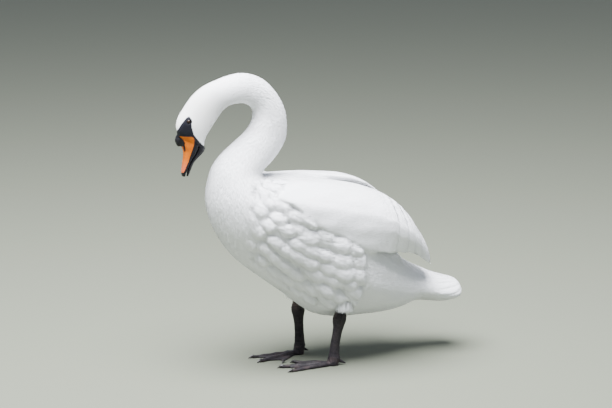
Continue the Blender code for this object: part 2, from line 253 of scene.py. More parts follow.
# Outlines on the head seen from its side, as (ahead, up) in millimetres from the eyes.
headMarkings = {
    "bare": [
        (-1, 12.0), (5, 8.5), (16, -6.0), (24, -20.5), (29.5, -30), (60, -36), (60, -150), (0, -150),
        (-5, -112), (-12, -97), (-26, -86), (-44, -75.5), (-37, -65.4), (-27, -53.5), (-18, -42),
        (-11.3, -32.5), (-6.2, -14), (-5.6, -3), (-4.5, 6),
    ],
    "orange": [
        (21.5, -37.6), (-7, -37.4), (-11.5, -40), (-13.3, -45.5), (-12.4, -58.3), (-8, -72.3),
        (-2.9, -86.5), (0.5, -98.8), (5.9, -111), (10.3, -123.3), (14, -127.5), (40, -127.5),
        (40, -64.5), (16.5, -64.5), (10.2, -62), (8.6, -54), (11.5, -47.5), (17, -42), (21.5, -39.2),
    ],
    "horn": [
        (60, -22), (27, -30), (21, -35.6), (-7, -36.4), (-13.5, -39), (-15, -45), (-15.5, -57), (-21, -60),
        (-34, -66), (-34, -160), (60, -160),
    ],
    "jaw": ((-26.0, -62.8), (-40.6, -69.6)),  # where the lower bill meets the skin
    "slit": ((12.0, -55.0), (8.7, -77.0)),  # the nostril's two ends
    "slitWidth": 2.3,
}


def markingDistance(points, marking):
    return polygonDistance(headPlaces(points)[:, 1:] / mm, headMarkings[marking])


def slitDistance(points):
    # an oval round the nostril: 1 on its edge, 0 in its middle
    start, end = (np.array(p) for p in headMarkings["slit"])
    places = headPlaces(points)[:, 1:] / mm - (start + end) / 2
    along = unit(end - start)
    aside = np.array([-along[1], along[0]])
    long = places @ along / (np.linalg.norm(end - start) / 2)
    return np.hypot(long, places @ aside / headMarkings["slitWidth"])


def bareDistance(points):
    eye = np.linalg.norm(headPlaces(points)[:, 1:] / mm, axis=1) - 7.6
    return np.minimum(markingDistance(points, "bare"), eye)


def orangeShare(points):
    slit = ramp(slitDistance(points), 0.82, 1.15)
    return (1 - ramp(markingDistance(points, "orange"), -0.5, 0.5)) * slit


# The materials.

plumageValues = {
    "white": (0.90, 0.905, 0.93),
    "warm": (0.90, 0.87, 0.80),
    "toneAndPaintedRootShade": (0.70, 0.72, 0.74),
    "toneAndPaintedRootShadeShare": 0.22,  # how far the darkest feathers, and the painted shade towards each vane's root, go towards the grey
    "roughness": (0.72, 0.08),  # its middle, and how far it drifts to each side
    "barbSlant": 0.55,
    "barbBump": 0.20,
    "lightCatch": 0.12,  # how much the loose barbs catch light from above
}


def newMaterial(name):
    material = bpy.data.materials.new(name)
    material.use_nodes = True
    tree = material.node_tree
    return material, tree, tree.nodes["Principled BSDF"]


def node(tree, kind, inputs=None, **settings):
    made = tree.nodes.new("ShaderNode" + kind)
    for key, value in settings.items():
        setattr(made, key, value)
    for key, value in (inputs or {}).items():
        if isinstance(value, bpy.types.NodeSocket):
            tree.links.new(value, made.inputs[key])
        else:
            made.inputs[key].default_value = value
    return made


def maths(tree, operation, a, b=0.0):
    return node(tree, "Math", {0: a, 1: b}, operation=operation).outputs[0]


def blendColours(tree, share, first, second):
    pair = [(*c, 1) if isinstance(c, tuple) else c for c in (first, second)]
    return node(tree, "Mix", {0: share, 6: pair[0], 7: pair[1]}, data_type="RGBA").outputs[2]


def objectPlace(tree):
    return node(tree, "TexCoord").outputs["Object"]


def attributeValue(tree, name):
    return node(tree, "Attribute", attribute_name=name).outputs["Fac"]


def noiseValue(tree, scale, detail=3.0):
    inputs = {"Vector": objectPlace(tree), "Scale": scale, "Detail": detail, "Roughness": 0.55}
    return node(tree, "TexNoise", inputs).outputs["Fac"]


def mapped(tree, value, low, high, toLow, toHigh):
    inputs = {"Value": value, "From Min": low, "From Max": high, "To Min": toLow, "To Max": toHigh}
    return node(tree, "MapRange", inputs).outputs["Result"]


def finish(tree, shader, colour, rough, height, strength, distance, constants):
    # colour, roughness and bump vary over the piece; the constants are set once
    tree.links.new(colour, shader.inputs["Base Color"])
    tree.links.new(rough, shader.inputs["Roughness"])
    bump = node(tree, "Bump", {"Height": height, "Strength": strength, "Distance": distance})
    tree.links.new(bump.outputs["Normal"], shader.inputs["Normal"])
    for name, value in constants.items():
        shader.inputs[name].default_value = value


def featherMaterial(name, barbs):
    # slanting barbs on both sides of a shaft, along each vane's own map
    material, tree, shader = newMaterial(name)
    place = node(tree, "SeparateXYZ", {0: node(tree, "UVMap", uv_map="vane").outputs[0]})
    side = maths(tree, "ABSOLUTE", maths(tree, "SUBTRACT", place.outputs[0], 0.5))
    slant = maths(tree, "MULTIPLY", side, plumageValues["barbSlant"])
    slant = maths(tree, "SUBTRACT", place.outputs[1], slant)
    rib = maths(tree, "SINE", maths(tree, "MULTIPLY", slant, barbs * 6.283))
    shaft = mapped(tree, side, 0.0, 0.045, 1.0, 0.0)
    height = maths(tree, "ADD", maths(tree, "MULTIPLY", rib, 0.22), shaft)
    grain = noiseValue(tree, 55.0)
    warm = mapped(tree, grain, 0.3, 0.7, 0.5, 1.0)
    warm = maths(tree, "MULTIPLY", attributeValue(tree, "stain"), warm)
    colour = blendColours(tree, warm, plumageValues["white"], plumageValues["warm"])
    # tone: a random share per feather, plus painted shade that darkens each vane towards its root
    toneAndPaintedRootShade = mapped(tree, attributeValue(tree, "tone"), 0.0, 1.0, 0.0, plumageValues["toneAndPaintedRootShadeShare"])
    colour = blendColours(tree, toneAndPaintedRootShade, colour, plumageValues["toneAndPaintedRootShade"])
    middle, spread = plumageValues["roughness"]
    rough = mapped(tree, grain, 0.2, 0.8, middle - spread, middle + spread)
    constants = {"Specular IOR Level": 0.3, "Sheen Weight": 0.12, "Sheen Roughness": 0.5}
    finish(tree, shader, colour, rough, height, plumageValues["barbBump"], 0.0004, constants)
    return material


# Each pair is the two ends between which roughness or colour drifts over the piece.
roughness = {"horn": (0.30, 0.46), "leg": (0.42, 0.62), "claw": (0.28, 0.42), "eye": (0.05, 0.09)}
hornColours = {
    "down": ((0.87, 0.875, 0.90), (0.90, 0.905, 0.925)),
    "bareSkin": ((0.006, 0.006, 0.010), (0.014, 0.014, 0.021)),
    "black": ((0.005, 0.005, 0.007), (0.013, 0.012, 0.015)),
    "orange": ((0.46, 0.095, 0.0004), (0.54, 0.125, 0.0006)),
    "pink": ((0.54, 0.125, 0.055), (0.48, 0.095, 0.025)),
    "claw": ((0.008, 0.007, 0.008), (0.03, 0.026, 0.026)),
}


def skinMaterial():
    # white down under the coat, black skin in front of the eyes with an orange edge at the bill
    material, tree, shader = newMaterial("bareAndDownySkin")
    bare = attributeValue(tree, "bare")
    grain = noiseValue(tree, 420.0, 4.0)
    soft = noiseValue(tree, 60.0)
    down = blendColours(tree, mapped(tree, soft, 0.3, 0.7, 0, 1), *hornColours["down"])
    black = blendColours(tree, soft, *hornColours["bareSkin"])
    horn = blendColours(tree, soft, *hornColours["orange"])
    colour = blendColours(tree, attributeValue(tree, "orange"), black, horn)
    colour = blendColours(tree, bare, down, colour)
    smooth = mapped(tree, bare, 0, 1, 0.85, 0.52)
    rough = maths(tree, "ADD", smooth, mapped(tree, grain, 0.3, 0.7, -0.06, 0.06))
    inputs = {"Vector": objectPlace(tree), "Scale": 620.0}
    creases = node(tree, "TexVoronoi", inputs, feature="DISTANCE_TO_EDGE").outputs["Distance"]
    height = mapped(tree, creases, 0, 0.25, 0, 0.6)
    height = maths(tree, "ADD", height, maths(tree, "MULTIPLY", grain, 0.5))
    height = maths(tree, "MULTIPLY", height, mapped(tree, bare, 0, 1, 0.15, 1))
    finish(tree, shader, colour, rough, height, 0.35, 0.0003, {"Specular IOR Level": 0.14})
    return material


def hornMaterial(name, dark=True):
    # the bill: black horn, orange inside its marking, pinker towards the tip
    material, tree, shader = newMaterial(name)
    soft = noiseValue(tree, 90.0, 4.0)
    fine = noiseValue(tree, 700.0, 3.0)
    colour = blendColours(tree, soft, *hornColours["black"])
    if not dark:
        orange = blendColours(tree, mapped(tree, soft, 0.3, 0.7, 0, 1), *hornColours["orange"])
        pink = blendColours(tree, soft, *hornColours["pink"])
        horn = blendColours(tree, attributeValue(tree, "tip"), orange, pink)
        colour = blendColours(tree, attributeValue(tree, "orange"), colour, horn)
    streaks = node(tree, "Mapping", {"Vector": objectPlace(tree), "Scale": (1.0, 1.0, 0.18)})
    inputs = {"Vector": streaks.outputs[0], "Scale": 380.0, "Detail": 3.0}
    height = node(tree, "TexNoise", inputs).outputs["Fac"]
    height = maths(tree, "ADD", height, maths(tree, "MULTIPLY", fine, 0.4))
    rough = mapped(tree, fine, 0.3, 0.7, *roughness["horn"])
    constants = {"Specular IOR Level": 0.16, "Coat Weight": 0.06, "Coat Roughness": 0.22}
    finish(tree, shader, colour, rough, height, 0.22, 0.0004, constants)
    return material


legColours = {
    "plate": ((0.012, 0.010, 0.013), (0.028, 0.023, 0.027)),  # from one scale to the next
    "patch": (0.048, 0.038, 0.038),
    # pale: a painted pinkish highlight on the upper front of the shanks, and the real paler patches on the
    # feet
    "pale": (0.11, 0.075, 0.072),
    "groove": (0.006, 0.005, 0.006),
}


def legMaterial():
    material, tree, shader = newMaterial("legSkin")
    soft = noiseValue(tree, 70.0, 4.0)
    fine = noiseValue(tree, 900.0, 3.0)
    colour = blendColours(tree, attributeValue(tree, "cell"), *legColours["plate"])
    colour = blendColours(tree, mapped(tree, soft, 0.45, 0.75, 0, 0.5), colour, legColours["patch"])
    # painted highlight on the upper front of the shanks, with the real paler patches on the feet
    colour = blendColours(tree, attributeValue(tree, "pale"), colour, legColours["pale"])
    colour = blendColours(tree, attributeValue(tree, "groove"), colour, legColours["groove"])
    rough = mapped(tree, fine, 0.3, 0.7, *roughness["leg"])
    finish(tree, shader, colour, rough, fine, 0.3, 0.0003, {"Specular IOR Level": 0.22})
    return material


def clawMaterial():
    material, tree, shader = newMaterial("clawHorn")
    grain = noiseValue(tree, 420.0, 3.0)
    colour = blendColours(tree, grain, *hornColours["claw"])
    rough = mapped(tree, grain, 0.3, 0.7, *roughness["claw"])
    finish(tree, shader, colour, rough, grain, 0.2, 0.0003, {})
    return material


eyeColours = {
    "iris": ((0.010, 0.004, 0.002), (0.030, 0.012, 0.005)),
    "round": (0.012, 0.009, 0.008),
    "pupil": (0.001, 0.001, 0.001),
}


def eyeMaterial():
    # dark brown iris round a black pupil, under a clear wet front
    material, tree, shader = newMaterial("eyeball")
    rays = noiseValue(tree, 900.0, 4.0)
    brown = blendColours(tree, rays, *eyeColours["iris"])
    colour = blendColours(tree, attributeValue(tree, "iris"), eyeColours["round"], brown)
    colour = blendColours(tree, attributeValue(tree, "pupil"), colour, eyeColours["pupil"])
    rough = mapped(tree, rays, 0.3, 0.7, *roughness["eye"])
    constants = {"Specular IOR Level": 0.25, "Coat Weight": 0.12, "Coat Roughness": 0.02}
    finish(tree, shader, colour, rough, rays, 0.05, 0.0001, constants)
    return material


# The lie of the feathers: away from the bill, as warmth would spread from it.

flowValues = {
    "voxel": 8.0 * mm,
    "reach": 0.085,
    "solveRounds": 500,
    "evenRounds": 10,
    "fanFrom": 92.0 * mm,  # behind this the wing's feathers begin to hang
    "fanFull": 140.0 * mm,
    "fanPlace": (138.0 * mm, 159.0 * mm),  # where the hanging feathers fan out from, over the wing's top
    "fanSpread": 0.25,  # how far the fan's feathers lean to the middle of the back
    "wingHeading": (0.0, 1.0, -0.22),
    "wingTurn": (-0.19, -0.11),  # along the body, where the wing's own heading takes over
    "flankRise": 0.45,
    "sourceSize": 20.0 * mm,
    "sourceDepth": 14.0 * mm,
}


def spreadFrom(mesh, source, reach, rounds):
    points = readPoints(mesh)
    triangles, _ = readTriangles(mesh)
    others, starts, degree = network(len(points), readEdges(mesh))
    sides = points[triangles]
    areas = np.linalg.norm(np.cross(sides[:, 1] - sides[:, 0], sides[:, 2] - sides[:, 0]), axis=1) / 2
    mass = np.bincount(triangles.ravel(), np.repeat(areas / 3, 3), minlength=len(points))
    strength = reach * reach

    def applied(values):
        return mass * values + strength * (degree * values - np.add.reduceat(values[others], starts))

    diagonal = mass + strength * degree
    solution = np.zeros(len(points))
    rest = mass * source
    scaled = rest / diagonal
    heading = scaled.copy()
    energy = rest @ scaled
    for _ in range(rounds):
        pushed = applied(heading)
        step = energy / (heading @ pushed)
        solution += step * heading
        rest = rest - step * pushed
        scaled = rest / diagonal
        fresh = rest @ scaled
        if fresh < 1e-60:
            break
        heading = scaled + fresh / energy * heading
        energy = fresh
    return points, triangles, np.maximum(solution, 1e-300)


def downhill(points, triangles, values):
    # the direction on each vertex in which the logarithm of the values falls
    values = np.log(values)
    a, b, c = (points[triangles[:, k]] for k in range(3))
    normal = np.cross(b - a, c - a)
    double = np.maximum(np.linalg.norm(normal, axis=1, keepdims=True), 1e-15)
    normal = normal / double
    slope = np.zeros_like(a)
    for first, second, third in ((0, 1, 2), (1, 2, 0), (2, 0, 1)):
        edge = points[triangles[:, third]] - points[triangles[:, second]]
        slope += values[triangles[:, first]][:, None] * np.cross(normal, edge)
    slope = unit(slope) * double
    total = np.zeros_like(points)
    for k in range(3):
        for axis in range(3):
            total[:, axis] += np.bincount(triangles[:, k], -slope[:, axis], minlength=len(points))
    return unit(total)


def tangential(vectors, normals):
    return unit(vectors - np.sum(vectors * normals, axis=1, keepdims=True) * normals)


def featherLie():
    mesh = remeshed(fleshNodes, flowValues["voxel"], 0.6 * mm)
    points = readPoints(mesh)
    low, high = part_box("bill_upper")
    root = np.array([(low.x + high.x) / 2, (low.y + high.y) / 2, high.z - flowValues["sourceDepth"]])
    source = np.exp(-((np.linalg.norm(points - root, axis=1) / flowValues["sourceSize"]) ** 2))
    points, triangles, warmth = spreadFrom(mesh, source, flowValues["reach"], flowValues["solveRounds"])
    lie = downhill(points, triangles, warmth)
    net = network(len(points), readEdges(mesh))
    normals = readNormals(mesh)
    for _ in range(flowValues["evenRounds"]):
        lie = tangential(evened(lie, net, 1), normals)
    tree = BVHTree.FromPolygons(points.tolist(), triangles.tolist())
    print("lie of the feathers found on", len(points), "points")
    return triangles, lie, tree


# The skin.

skinValues = {
    "voxel": 4.5 * mm,
    "grow": 0.6 * mm,
    "evenRounds": 5,
    "insetSteps": 4,
    "thinShare": 0.30,  # the inset takes no more than this share of a thin part
    "faceMiddle": (8.0 * mm, -26.0 * mm),  # ahead of the eyes and up from them
    "faceReach": 48.0 * mm,
    "faceCuts": 2,
    "headMiddle": (0.0, -35.0 * mm),
    "headReach": 130.0 * mm,
    "eyeReach": 13.0 * mm,
    "fineFrom": 105.0 * mm,  # behind this the wings and the tail have a finer mesh
    "wingSide": 75.0 * mm,
    "flankRounds": 50,
    "underHorn": 1.6 * mm,
    "room": 16.0 * mm,  # free space over the skin without which no feathers grow
}

# How the coat grows on each solid, in millimetres and degrees: feather length and width, the spacing of
# roots, how high a tip stands over the skin, how far the skin lies inside the solid, the share by which
# tufts draw together, and the sideways sway.
coatGrowth = {
    "head": (9, 1.9, 1.12, 0.45, 1.0, 0.0, 6),
    "neck_top": (10, 2.4, 1.6, 1.2, 1.7, 0.30, 9),
    "neck_arch": (13, 2.7, 1.82, 1.8, 2.7, 0.45, 12),
    "neck_middle": (14, 3.0, 1.8, 1.7, 2.8, 0.40, 12),
    "neck_base": (16, 3.4, 1.9, 1.3, 2.9, 0.35, 11),
    "breast": (17, 3.6, 2.0, 1.0, 2.8, 0.25, 10),
    "trunk": (18, 3.8, 2.1, 1.9, 4.0, 0.35, 12),
    "rump": (18, 3.8, 2.1, 1.4, 3.4, 0.25, 10),
    "tail": (18, 4.0, 2.3, 0.45, 1.6, 0.0, 2),
    "thigh": (15, 2.8, 2.0, 2.2, 3.4, 0.40, 14),
    "wing": (18, 4.4, 2.4, 0.5, 1.5, 0.0, 3),
    "flight_feathers": (18, 4.4, 2.4, 0.45, 1.4, 0.0, 2),
}
growthFields = ("length", "width", "spacing", "height", "inset", "clump", "sway")

# The flank's soft lumps: their sizes in millimetres, their places in metres.
flankLumps = {
    "side": (0.035, 0.07),  # the flank's own place: distance from the middle, start, end and lowest height
    "start": (-0.27, -0.17),
    "end": (0.034, 0.052),
    "lowest": (0.125, 0.165),
    "lowestSlope": 0.25,
    "coatHigher": 0.15,
    "coatClump": 0.10,
    "spacing": 31.0 * mm,
    "front": (32.0, 48.0),  # how far a lump reaches forwards, smallest and largest
    "rear": (13.0, 18.0),
    "half": (15.0, 21.0),
    "height": (10.0, 19.0),
    "sizeFrom": (-0.24, -0.04),  # along the body: where lumps are smallest and where they are largest
    "round": 25.0 * mm,
    "base": 11.0 * mm,  # how far the hollows lie under the smooth skin
    "swell": 6.0 * mm,  # extra fullness towards the flank's rear edge
    "swellFrom": (-0.10, 0.0),
    "swellTo": (0.036, 0.050),
}


bellyValues = {"facing": (0.35, 0.85), "shorter": 0.15, "lower": 0.35}

# Where the flank's plumes lie over the folded wing, as places along the body and heights, and the
# ranges over which they begin and end.
plumeLine = {
    "y": (-0.200, -0.147, -0.079, -0.013, 0.036, 0.047),
    "z": (0.450, 0.423, 0.360, 0.330, 0.300, 0.250),
    "blend": 4.0 * mm,
    "side": (0.05, 0.07),
    "facing": (0.10, 0.25),
    "front": (-0.21, -0.19),
    "rear": (0.040, 0.050),
}


def underPlumes(points, normals):
    line = np.interp(points[:, 1], plumeLine["y"], plumeLine["z"])
    low = 1 - ramp(points[:, 2], line - plumeLine["blend"], line + plumeLine["blend"])
    aside = ramp(np.abs(points[:, 0]), *plumeLine["side"]) * ramp(np.abs(normals[:, 0]), *plumeLine["facing"])
    front, rear = ramp(points[:, 1], *plumeLine["front"]), ramp(points[:, 1], *plumeLine["rear"])
    return low * aside * (1 - rear) * front


def nodeOfPoints(points):
    triangles, corners, owner = [], [], []
    offset = 0
    for index, name in enumerate(fleshNodes):
        mesh = nodes[name].data
        found, _ = readTriangles(mesh)
        corners.append(readPoints(mesh))
        triangles.append(found + offset)
        owner.append(np.full(len(found), index))
        offset += len(mesh.vertices)
    tree = BVHTree.FromPolygons(np.vstack(corners).tolist(), np.vstack(triangles).tolist())
    owner = np.concatenate(owner)
    return owner[[tree.find_nearest(p)[2] for p in points.tolist()]]


def coatFields(points, normals, owner, net):
    # growth values on each vertex, blended over the borders of the solids
    plain = [name.removesuffix("_left").removesuffix("_right") for name in fleshNodes]
    table = np.array([coatGrowth[name] for name in plain], float)
    wing = np.isin(owner, [i for i, name in enumerate(plain) if name in ("wing", "flight_feathers")])
    covered = wing & (underPlumes(points, normals) > 0.5)
    owner[covered] = fleshNodes.index("trunk")
    wing = wing & ~covered
    fields = evened(table[owner], net, 26)
    made = {name: fields[:, k] * (mm if k < 5 else 1) for k, name in enumerate(growthFields)}
    made["wing"] = evened(wing.astype(float)[:, None], net, 6)[:, 0]
    side, y, low = np.abs(points[:, 0]), points[:, 1], points[:, 2]
    trunk = np.isin(owner, [fleshNodes.index(n) for n in ("trunk", "breast", "rump")]).astype(float)
    trunk = np.maximum(trunk, covered)
    flank = ramp(side, *flankLumps["side"]) * ramp(y, *flankLumps["start"])
    flank = flank * (1 - ramp(y, *flankLumps["end"])) * trunk
    flank = flank * ramp(low - flankLumps["lowestSlope"] * np.abs(y), *flankLumps["lowest"])
    made["flank"] = evened(flank[:, None], net, 6)[:, 0]
    belly = ramp(-normals[:, 2], *bellyValues["facing"]) * trunk
    made["length"] = made["length"] * (1 - bellyValues["shorter"] * belly)
    higher = flankLumps["coatHigher"] * made["flank"]
    made["height"] = made["height"] * (1 + higher - bellyValues["lower"] * belly)
    made["clump"] = made["clump"] + flankLumps["coatClump"] * made["flank"]
    return made


def finer(bm):
    # smaller faces on the face, round the eyes, and where the long feathers of wings and tail show
    middle = Vector(headPoint(0, *skinValues["faceMiddle"]))
    near = [e for e in bm.edges if (e.verts[0].co - middle).length < skinValues["faceReach"]]
    bmesh.ops.subdivide_edges(bm, edges=near, cuts=skinValues["faceCuts"], use_grid_fill=True)
    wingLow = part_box("flight_feathers_left")[0].z
    tailFront = stepValues["tailFrom"][0]
    near = []
    bm.normal_update()
    for edge in bm.edges:
        x, y, z = (edge.verts[0].co + edge.verts[1].co) / 2
        wing = y > skinValues["fineFrom"] and z > wingLow - 4 * mm and abs(x) > skinValues["wingSide"]
        wing = wing and edge.verts[0].normal.x * math.copysign(1, x) > 0.12
        if (y > tailFront and z < wingLow) or wing:
            near.append(edge)
    bmesh.ops.subdivide_edges(bm, edges=near, cuts=1, use_grid_fill=True)
    centres = [Vector(eyeCentres[side]) for side in mirrors]
    near = [e for e in bm.edges if min((e.verts[0].co - c).length for c in centres) < skinValues["eyeReach"]]
    bmesh.ops.subdivide_edges(bm, edges=near, cuts=1, use_grid_fill=True)
    bmesh.ops.triangulate(bm, faces=[f for f in bm.faces if len(f.verts) > 4])


def drawnIn(mesh, points, fields, bare, onHead, net):
    # the skin lies inside the solids by the coat's depth, and under the bill's horn
    normals = readNormals(mesh)
    inset = fields["inset"] + skinValues["grow"]
    under = skinValues["underHorn"] * (1 - ramp(markingDistance(points, "horn"), -0.9, 0.5))
    inset = np.where(onHead, inset * ramp(bare, -3.0, 0.5) + 0.3 * mm + under, inset)
    triangles, _ = readTriangles(mesh)
    tree = BVHTree.FromPolygons(points.tolist(), triangles.tolist())
    starts = (points - normals * 0.2 * mm).tolist()
    depth = np.array([(tree.ray_cast(p, n)[3] or 1.0) for p, n in zip(starts, (-normals).tolist())])
    inset = np.minimum(inset, skinValues["thinShare"] * depth)
    inset = evened(inset[:, None], net, 4)[:, 0]
    steps = skinValues["insetSteps"]
    for _ in range(steps):
        points = points - normals * (inset / steps)[:, None]
        calm = evened(points, net, 2)
        points = np.where((bare < 3)[:, None], points, calm)
        writePoints(mesh, points)
        normals = readNormals(mesh)
    share = ramp(fields["flank"], 0.1, 0.6)[:, None]
    return points + (evened(points, net, skinValues["flankRounds"]) - points) * share


def buildSkin(lieSource):
    mesh = remeshed(fleshNodes, skinValues["voxel"], skinValues["grow"])
    edited(mesh, finer)
    net = network(len(mesh.vertices), readEdges(mesh))
    points = evened(readPoints(mesh), net, skinValues["evenRounds"])
    writePoints(mesh, points)
    owner = nodeOfPoints(points)
    fields = coatFields(points, readNormals(mesh), owner, net)
    headMiddle = headPoint(0, *skinValues["headMiddle"])
    onHead = np.linalg.norm(points - headMiddle, axis=1) < skinValues["headReach"]
    bare = np.where(onHead, bareDistance(points), 99.0)
    points = withLids(drawnIn(mesh, points, fields, bare, onHead, net))
    writePoints(mesh, points)
    normals = readNormals(mesh)
    coarseTriangles, coarseLie, coarseTree = lieSource
    hits = [coarseTree.find_nearest(p)[2] for p in points.tolist()]
    lie = coarseLie[coarseTriangles[hits]].sum(1)
    lie = unit(aimedAtWingTips(points, lie, fields))
    lie[:, 2] += flowValues["flankRise"] * fields["flank"] * (1 - fields["wing"])
    for _ in range(6):
        lie = tangential(evened(lie, net, 1), normals)
    points = points + normals * lumps(points, lie, normals, fields)[:, None]
    points = raised(mesh, points, normals, featherSteps(points, normals, fields))
    bare = np.where(onHead, bareDistance(points), 99.0)
    setValues(mesh, "bare", 1 - ramp(bare, 0.5, 1.4))
    setValues(mesh, "orange", orangeShare(points) * onHead)
    unwrapped(placed("skin", mesh, skinMaterial(), fleshNodes))
    surface = surfaceOf(mesh, fields, lie, owner)
    surface["bareSide"] = bare
    print("skin:", len(points), "points,", len(surface["triangles"]), "triangles")
    return surface


def aimedAtWingTips(points, lie, fields):
    # behind the wrist the long feathers hang in a fan, down and back to the wing's tip
    lie = unit(lie)
    along = np.tile(unit(np.array(flowValues["wingHeading"])), (len(points), 1))
    turn = ramp(points[:, 1], *flowValues["wingTurn"]) * ramp(fields["wing"], 0.3, 0.8)
    lie = unit(lie * (1 - turn[:, None]) + along * turn[:, None])
    for side, mirror in mirrors.items():
        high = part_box("flight_feathers_" + side)[1]
        fan = np.array([0, flowValues["fanPlace"][0], high.z + flowValues["fanPlace"][1]])
        away = unit((points - fan) * (0, 1, 1))
        away[:, 0] = -mirror * flowValues["fanSpread"]
        turn = ramp(points[:, 1], flowValues["fanFrom"], flowValues["fanFull"]) * fields["wing"]
        turn = turn * (points[:, 0] * mirror > 0)
        lie = unit(lie * (1 - turn[:, None]) + unit(away) * turn[:, None])
    return lie


# The long feathers that show as soft steps: on the wing's rear by the angle in their fan, in degrees, and
# round the tail.
stepValues = {
    "wingEdges": (-10.0, -1.4, 6.0, 10.3, 14.5, 19.5, 26.0),
    "wingHeight": 3.2 * mm,
    "wingFrom": (0.085, 0.125),
    "wingFacing": (0.10, 0.40),
    "tailTurn": 13.0,
    "tailHeight": 1.7 * mm,
    "tailFrom": (0.275, 0.31),
    "bands": 0.7 * mm,  # soft streaks on the wing's front part
    "bandSize": 0.026,
    "bandsTo": (0.08, 0.12),
}


def stepProfile(share, drop):
    return (1 - (1 - share) ** 2) * (1 - ramp(share, drop, 1.0)) - 0.4


def featherSteps(points, normals, fields):
    # each long feather rises towards its rear edge and drops there onto the next one
    total = np.zeros(len(points))
    edges = np.array(stepValues["wingEdges"])
    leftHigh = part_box("flight_feathers_left")[1]
    for side, mirror in mirrors.items():
        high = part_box("flight_feathers_" + side)[1]
        fanY = flowValues["fanPlace"][0] + high.y - leftHigh.y
        fanZ = high.z + flowValues["fanPlace"][1]
        angle = np.degrees(np.arctan2(points[:, 1] - fanY, fanZ - points[:, 2]))
        index = np.clip(np.searchsorted(edges, angle) - 1, 0, len(edges) - 2)
        share = np.clip((angle - edges[index]) / (edges[index + 1] - edges[index]), 0, 1)
        outer = ramp(normals[:, 0] * mirror, *stepValues["wingFacing"]) * (points[:, 0] * mirror > 0)
        fade = ramp(points[:, 1], *stepValues["wingFrom"]) * (angle > edges[0]) * (angle < edges[-1])
        total += stepValues["wingHeight"] * stepProfile(share, 0.92) * outer * fade * fields["wing"]
    front = 1 - ramp(points[:, 1], *stepValues["bandsTo"])
    pattern = waves(points * (1.0, 0.22, 1.0), stepValues["bandSize"], 81)
    total += stepValues["bands"] * pattern * front * fields["wing"]
    low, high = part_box("tail")
    middle = (low.z + high.z) / 2 - 4 * mm
    turn = np.degrees(np.arctan2(np.abs(points[:, 0]), points[:, 2] - middle)) / stepValues["tailTurn"]
    rear = ramp(points[:, 1], *stepValues["tailFrom"]) * (points[:, 2] < high.z + 10 * mm)
    return total + stepValues["tailHeight"] * stepProfile(turn - np.floor(turn), 0.82) * rear


def lumps(points, lie, normals, fields):
    # rounded lumps that overlap like shingles, steep behind, and the fuller edge at the flank's rear
    draw = np.random.default_rng(401)
    mask = fields["flank"]
    chosen = []
    for index in draw.permutation(np.nonzero(mask > 0.25)[0]).tolist():
        place = points[index]
        if chosen and np.min(np.linalg.norm(points[chosen] - place, axis=1)) < flankLumps["spacing"]:
            continue
        chosen.append(index)
    active = np.nonzero(mask > 0.01)[0]
    height = np.zeros(len(points))
    for index in chosen:
        size = ramp(points[index, 1], *flankLumps["sizeFrom"])
        front, rear, half, rise = (
            (low + (high - low) * size) * draw.uniform(0.85, 1.15) * mm
            for low, high in (flankLumps[k] for k in ("front", "rear", "half", "height"))
        )
        away = points[active] - points[index]
        along = away @ lie[index]
        aside = away @ unit(np.cross(normals[index], lie[index]))
        reach = np.where(along > 0, along / rear, along / front) ** 2 + (aside / half) ** 2
        reach += ((away @ normals[index]) / flankLumps["round"]) ** 2
        height[active] = np.maximum(height[active], rise * np.sqrt(np.maximum(1 - reach, 0)))
    y = points[:, 1]
    swell = flankLumps["swell"] * ramp(y, *flankLumps["swellFrom"]) * (1 - ramp(y, *flankLumps["swellTo"]))
    return (height - flankLumps["base"]) * ramp(mask, 0.0, 0.6) + swell * ramp(mask, 0.0, 0.6)


lidValues = {
    "reach": 12.0 * mm,
    "radius": 5.1 * mm,
    "edge": 0.6 * mm,
    "height": 0.9 * mm,
    "rim": (0.7 * mm, 1.1 * mm),  # how far the rim lies outside the radius, and its width
    "crease": (3.0 * mm, 0.9 * mm),
    "creaseDepth": 0.5 * mm,
    "overEye": 0.35 * mm,
    "behindEye": 2.5 * mm,
}


def withLids(points):
    # a low rim round each eye, and the skin under it drawn back behind the eyeball
    rim, edge = lidValues["radius"], lidValues["edge"]
    for side, mirror in mirrors.items():
        centre = np.array(eyeCentres[side])
        outward = headAcross * mirror
        away = points - centre
        along = away @ outward
        flat = away - along[:, None] * outward
        radius = np.linalg.norm(flat, axis=1)
        near = (radius < lidValues["reach"]) & (along > -2 * mm)
        cap = np.sqrt(np.maximum(eyeSize**2 - np.minimum(radius, eyeSize) ** 2, 0))
        rings = (lidValues["rim"], lidValues["crease"])
        bump, crease = (np.exp(-(((radius - rim - out) / width) ** 2)) for out, width in rings)
        bump = lidValues["height"] * bump - lidValues["creaseDepth"] * crease
        lifted = along + np.where(radius > rim, bump, 0)
        hug = cap + lidValues["overEye"]
        hold = (1 - ramp(radius, rim, rim + 1.6 * mm)) * (radius >= rim - edge)
        lifted = lifted * (1 - hold) + np.maximum(hug, 0) * hold
        sunk = np.where(radius < rim - edge, cap - lidValues["behindEye"], lifted)
        points = np.where(near[:, None], centre + flat + sunk[:, None] * outward, points)
    return points


def unwrapped(obj):
    bpy.ops.object.select_all(action="DESELECT")
    obj.select_set(True)
    bpy.context.view_layer.objects.active = obj
    obj.data.uv_layers.new(name="OFBake")
    bpy.ops.object.mode_set(mode="EDIT")
    bpy.ops.mesh.select_all(action="SELECT")
    bpy.ops.uv.smart_project(angle_limit=1.15, island_margin=0.002, scale_to_bounds=True)
    bpy.ops.object.mode_set(mode="OBJECT")
    obj.select_set(False)


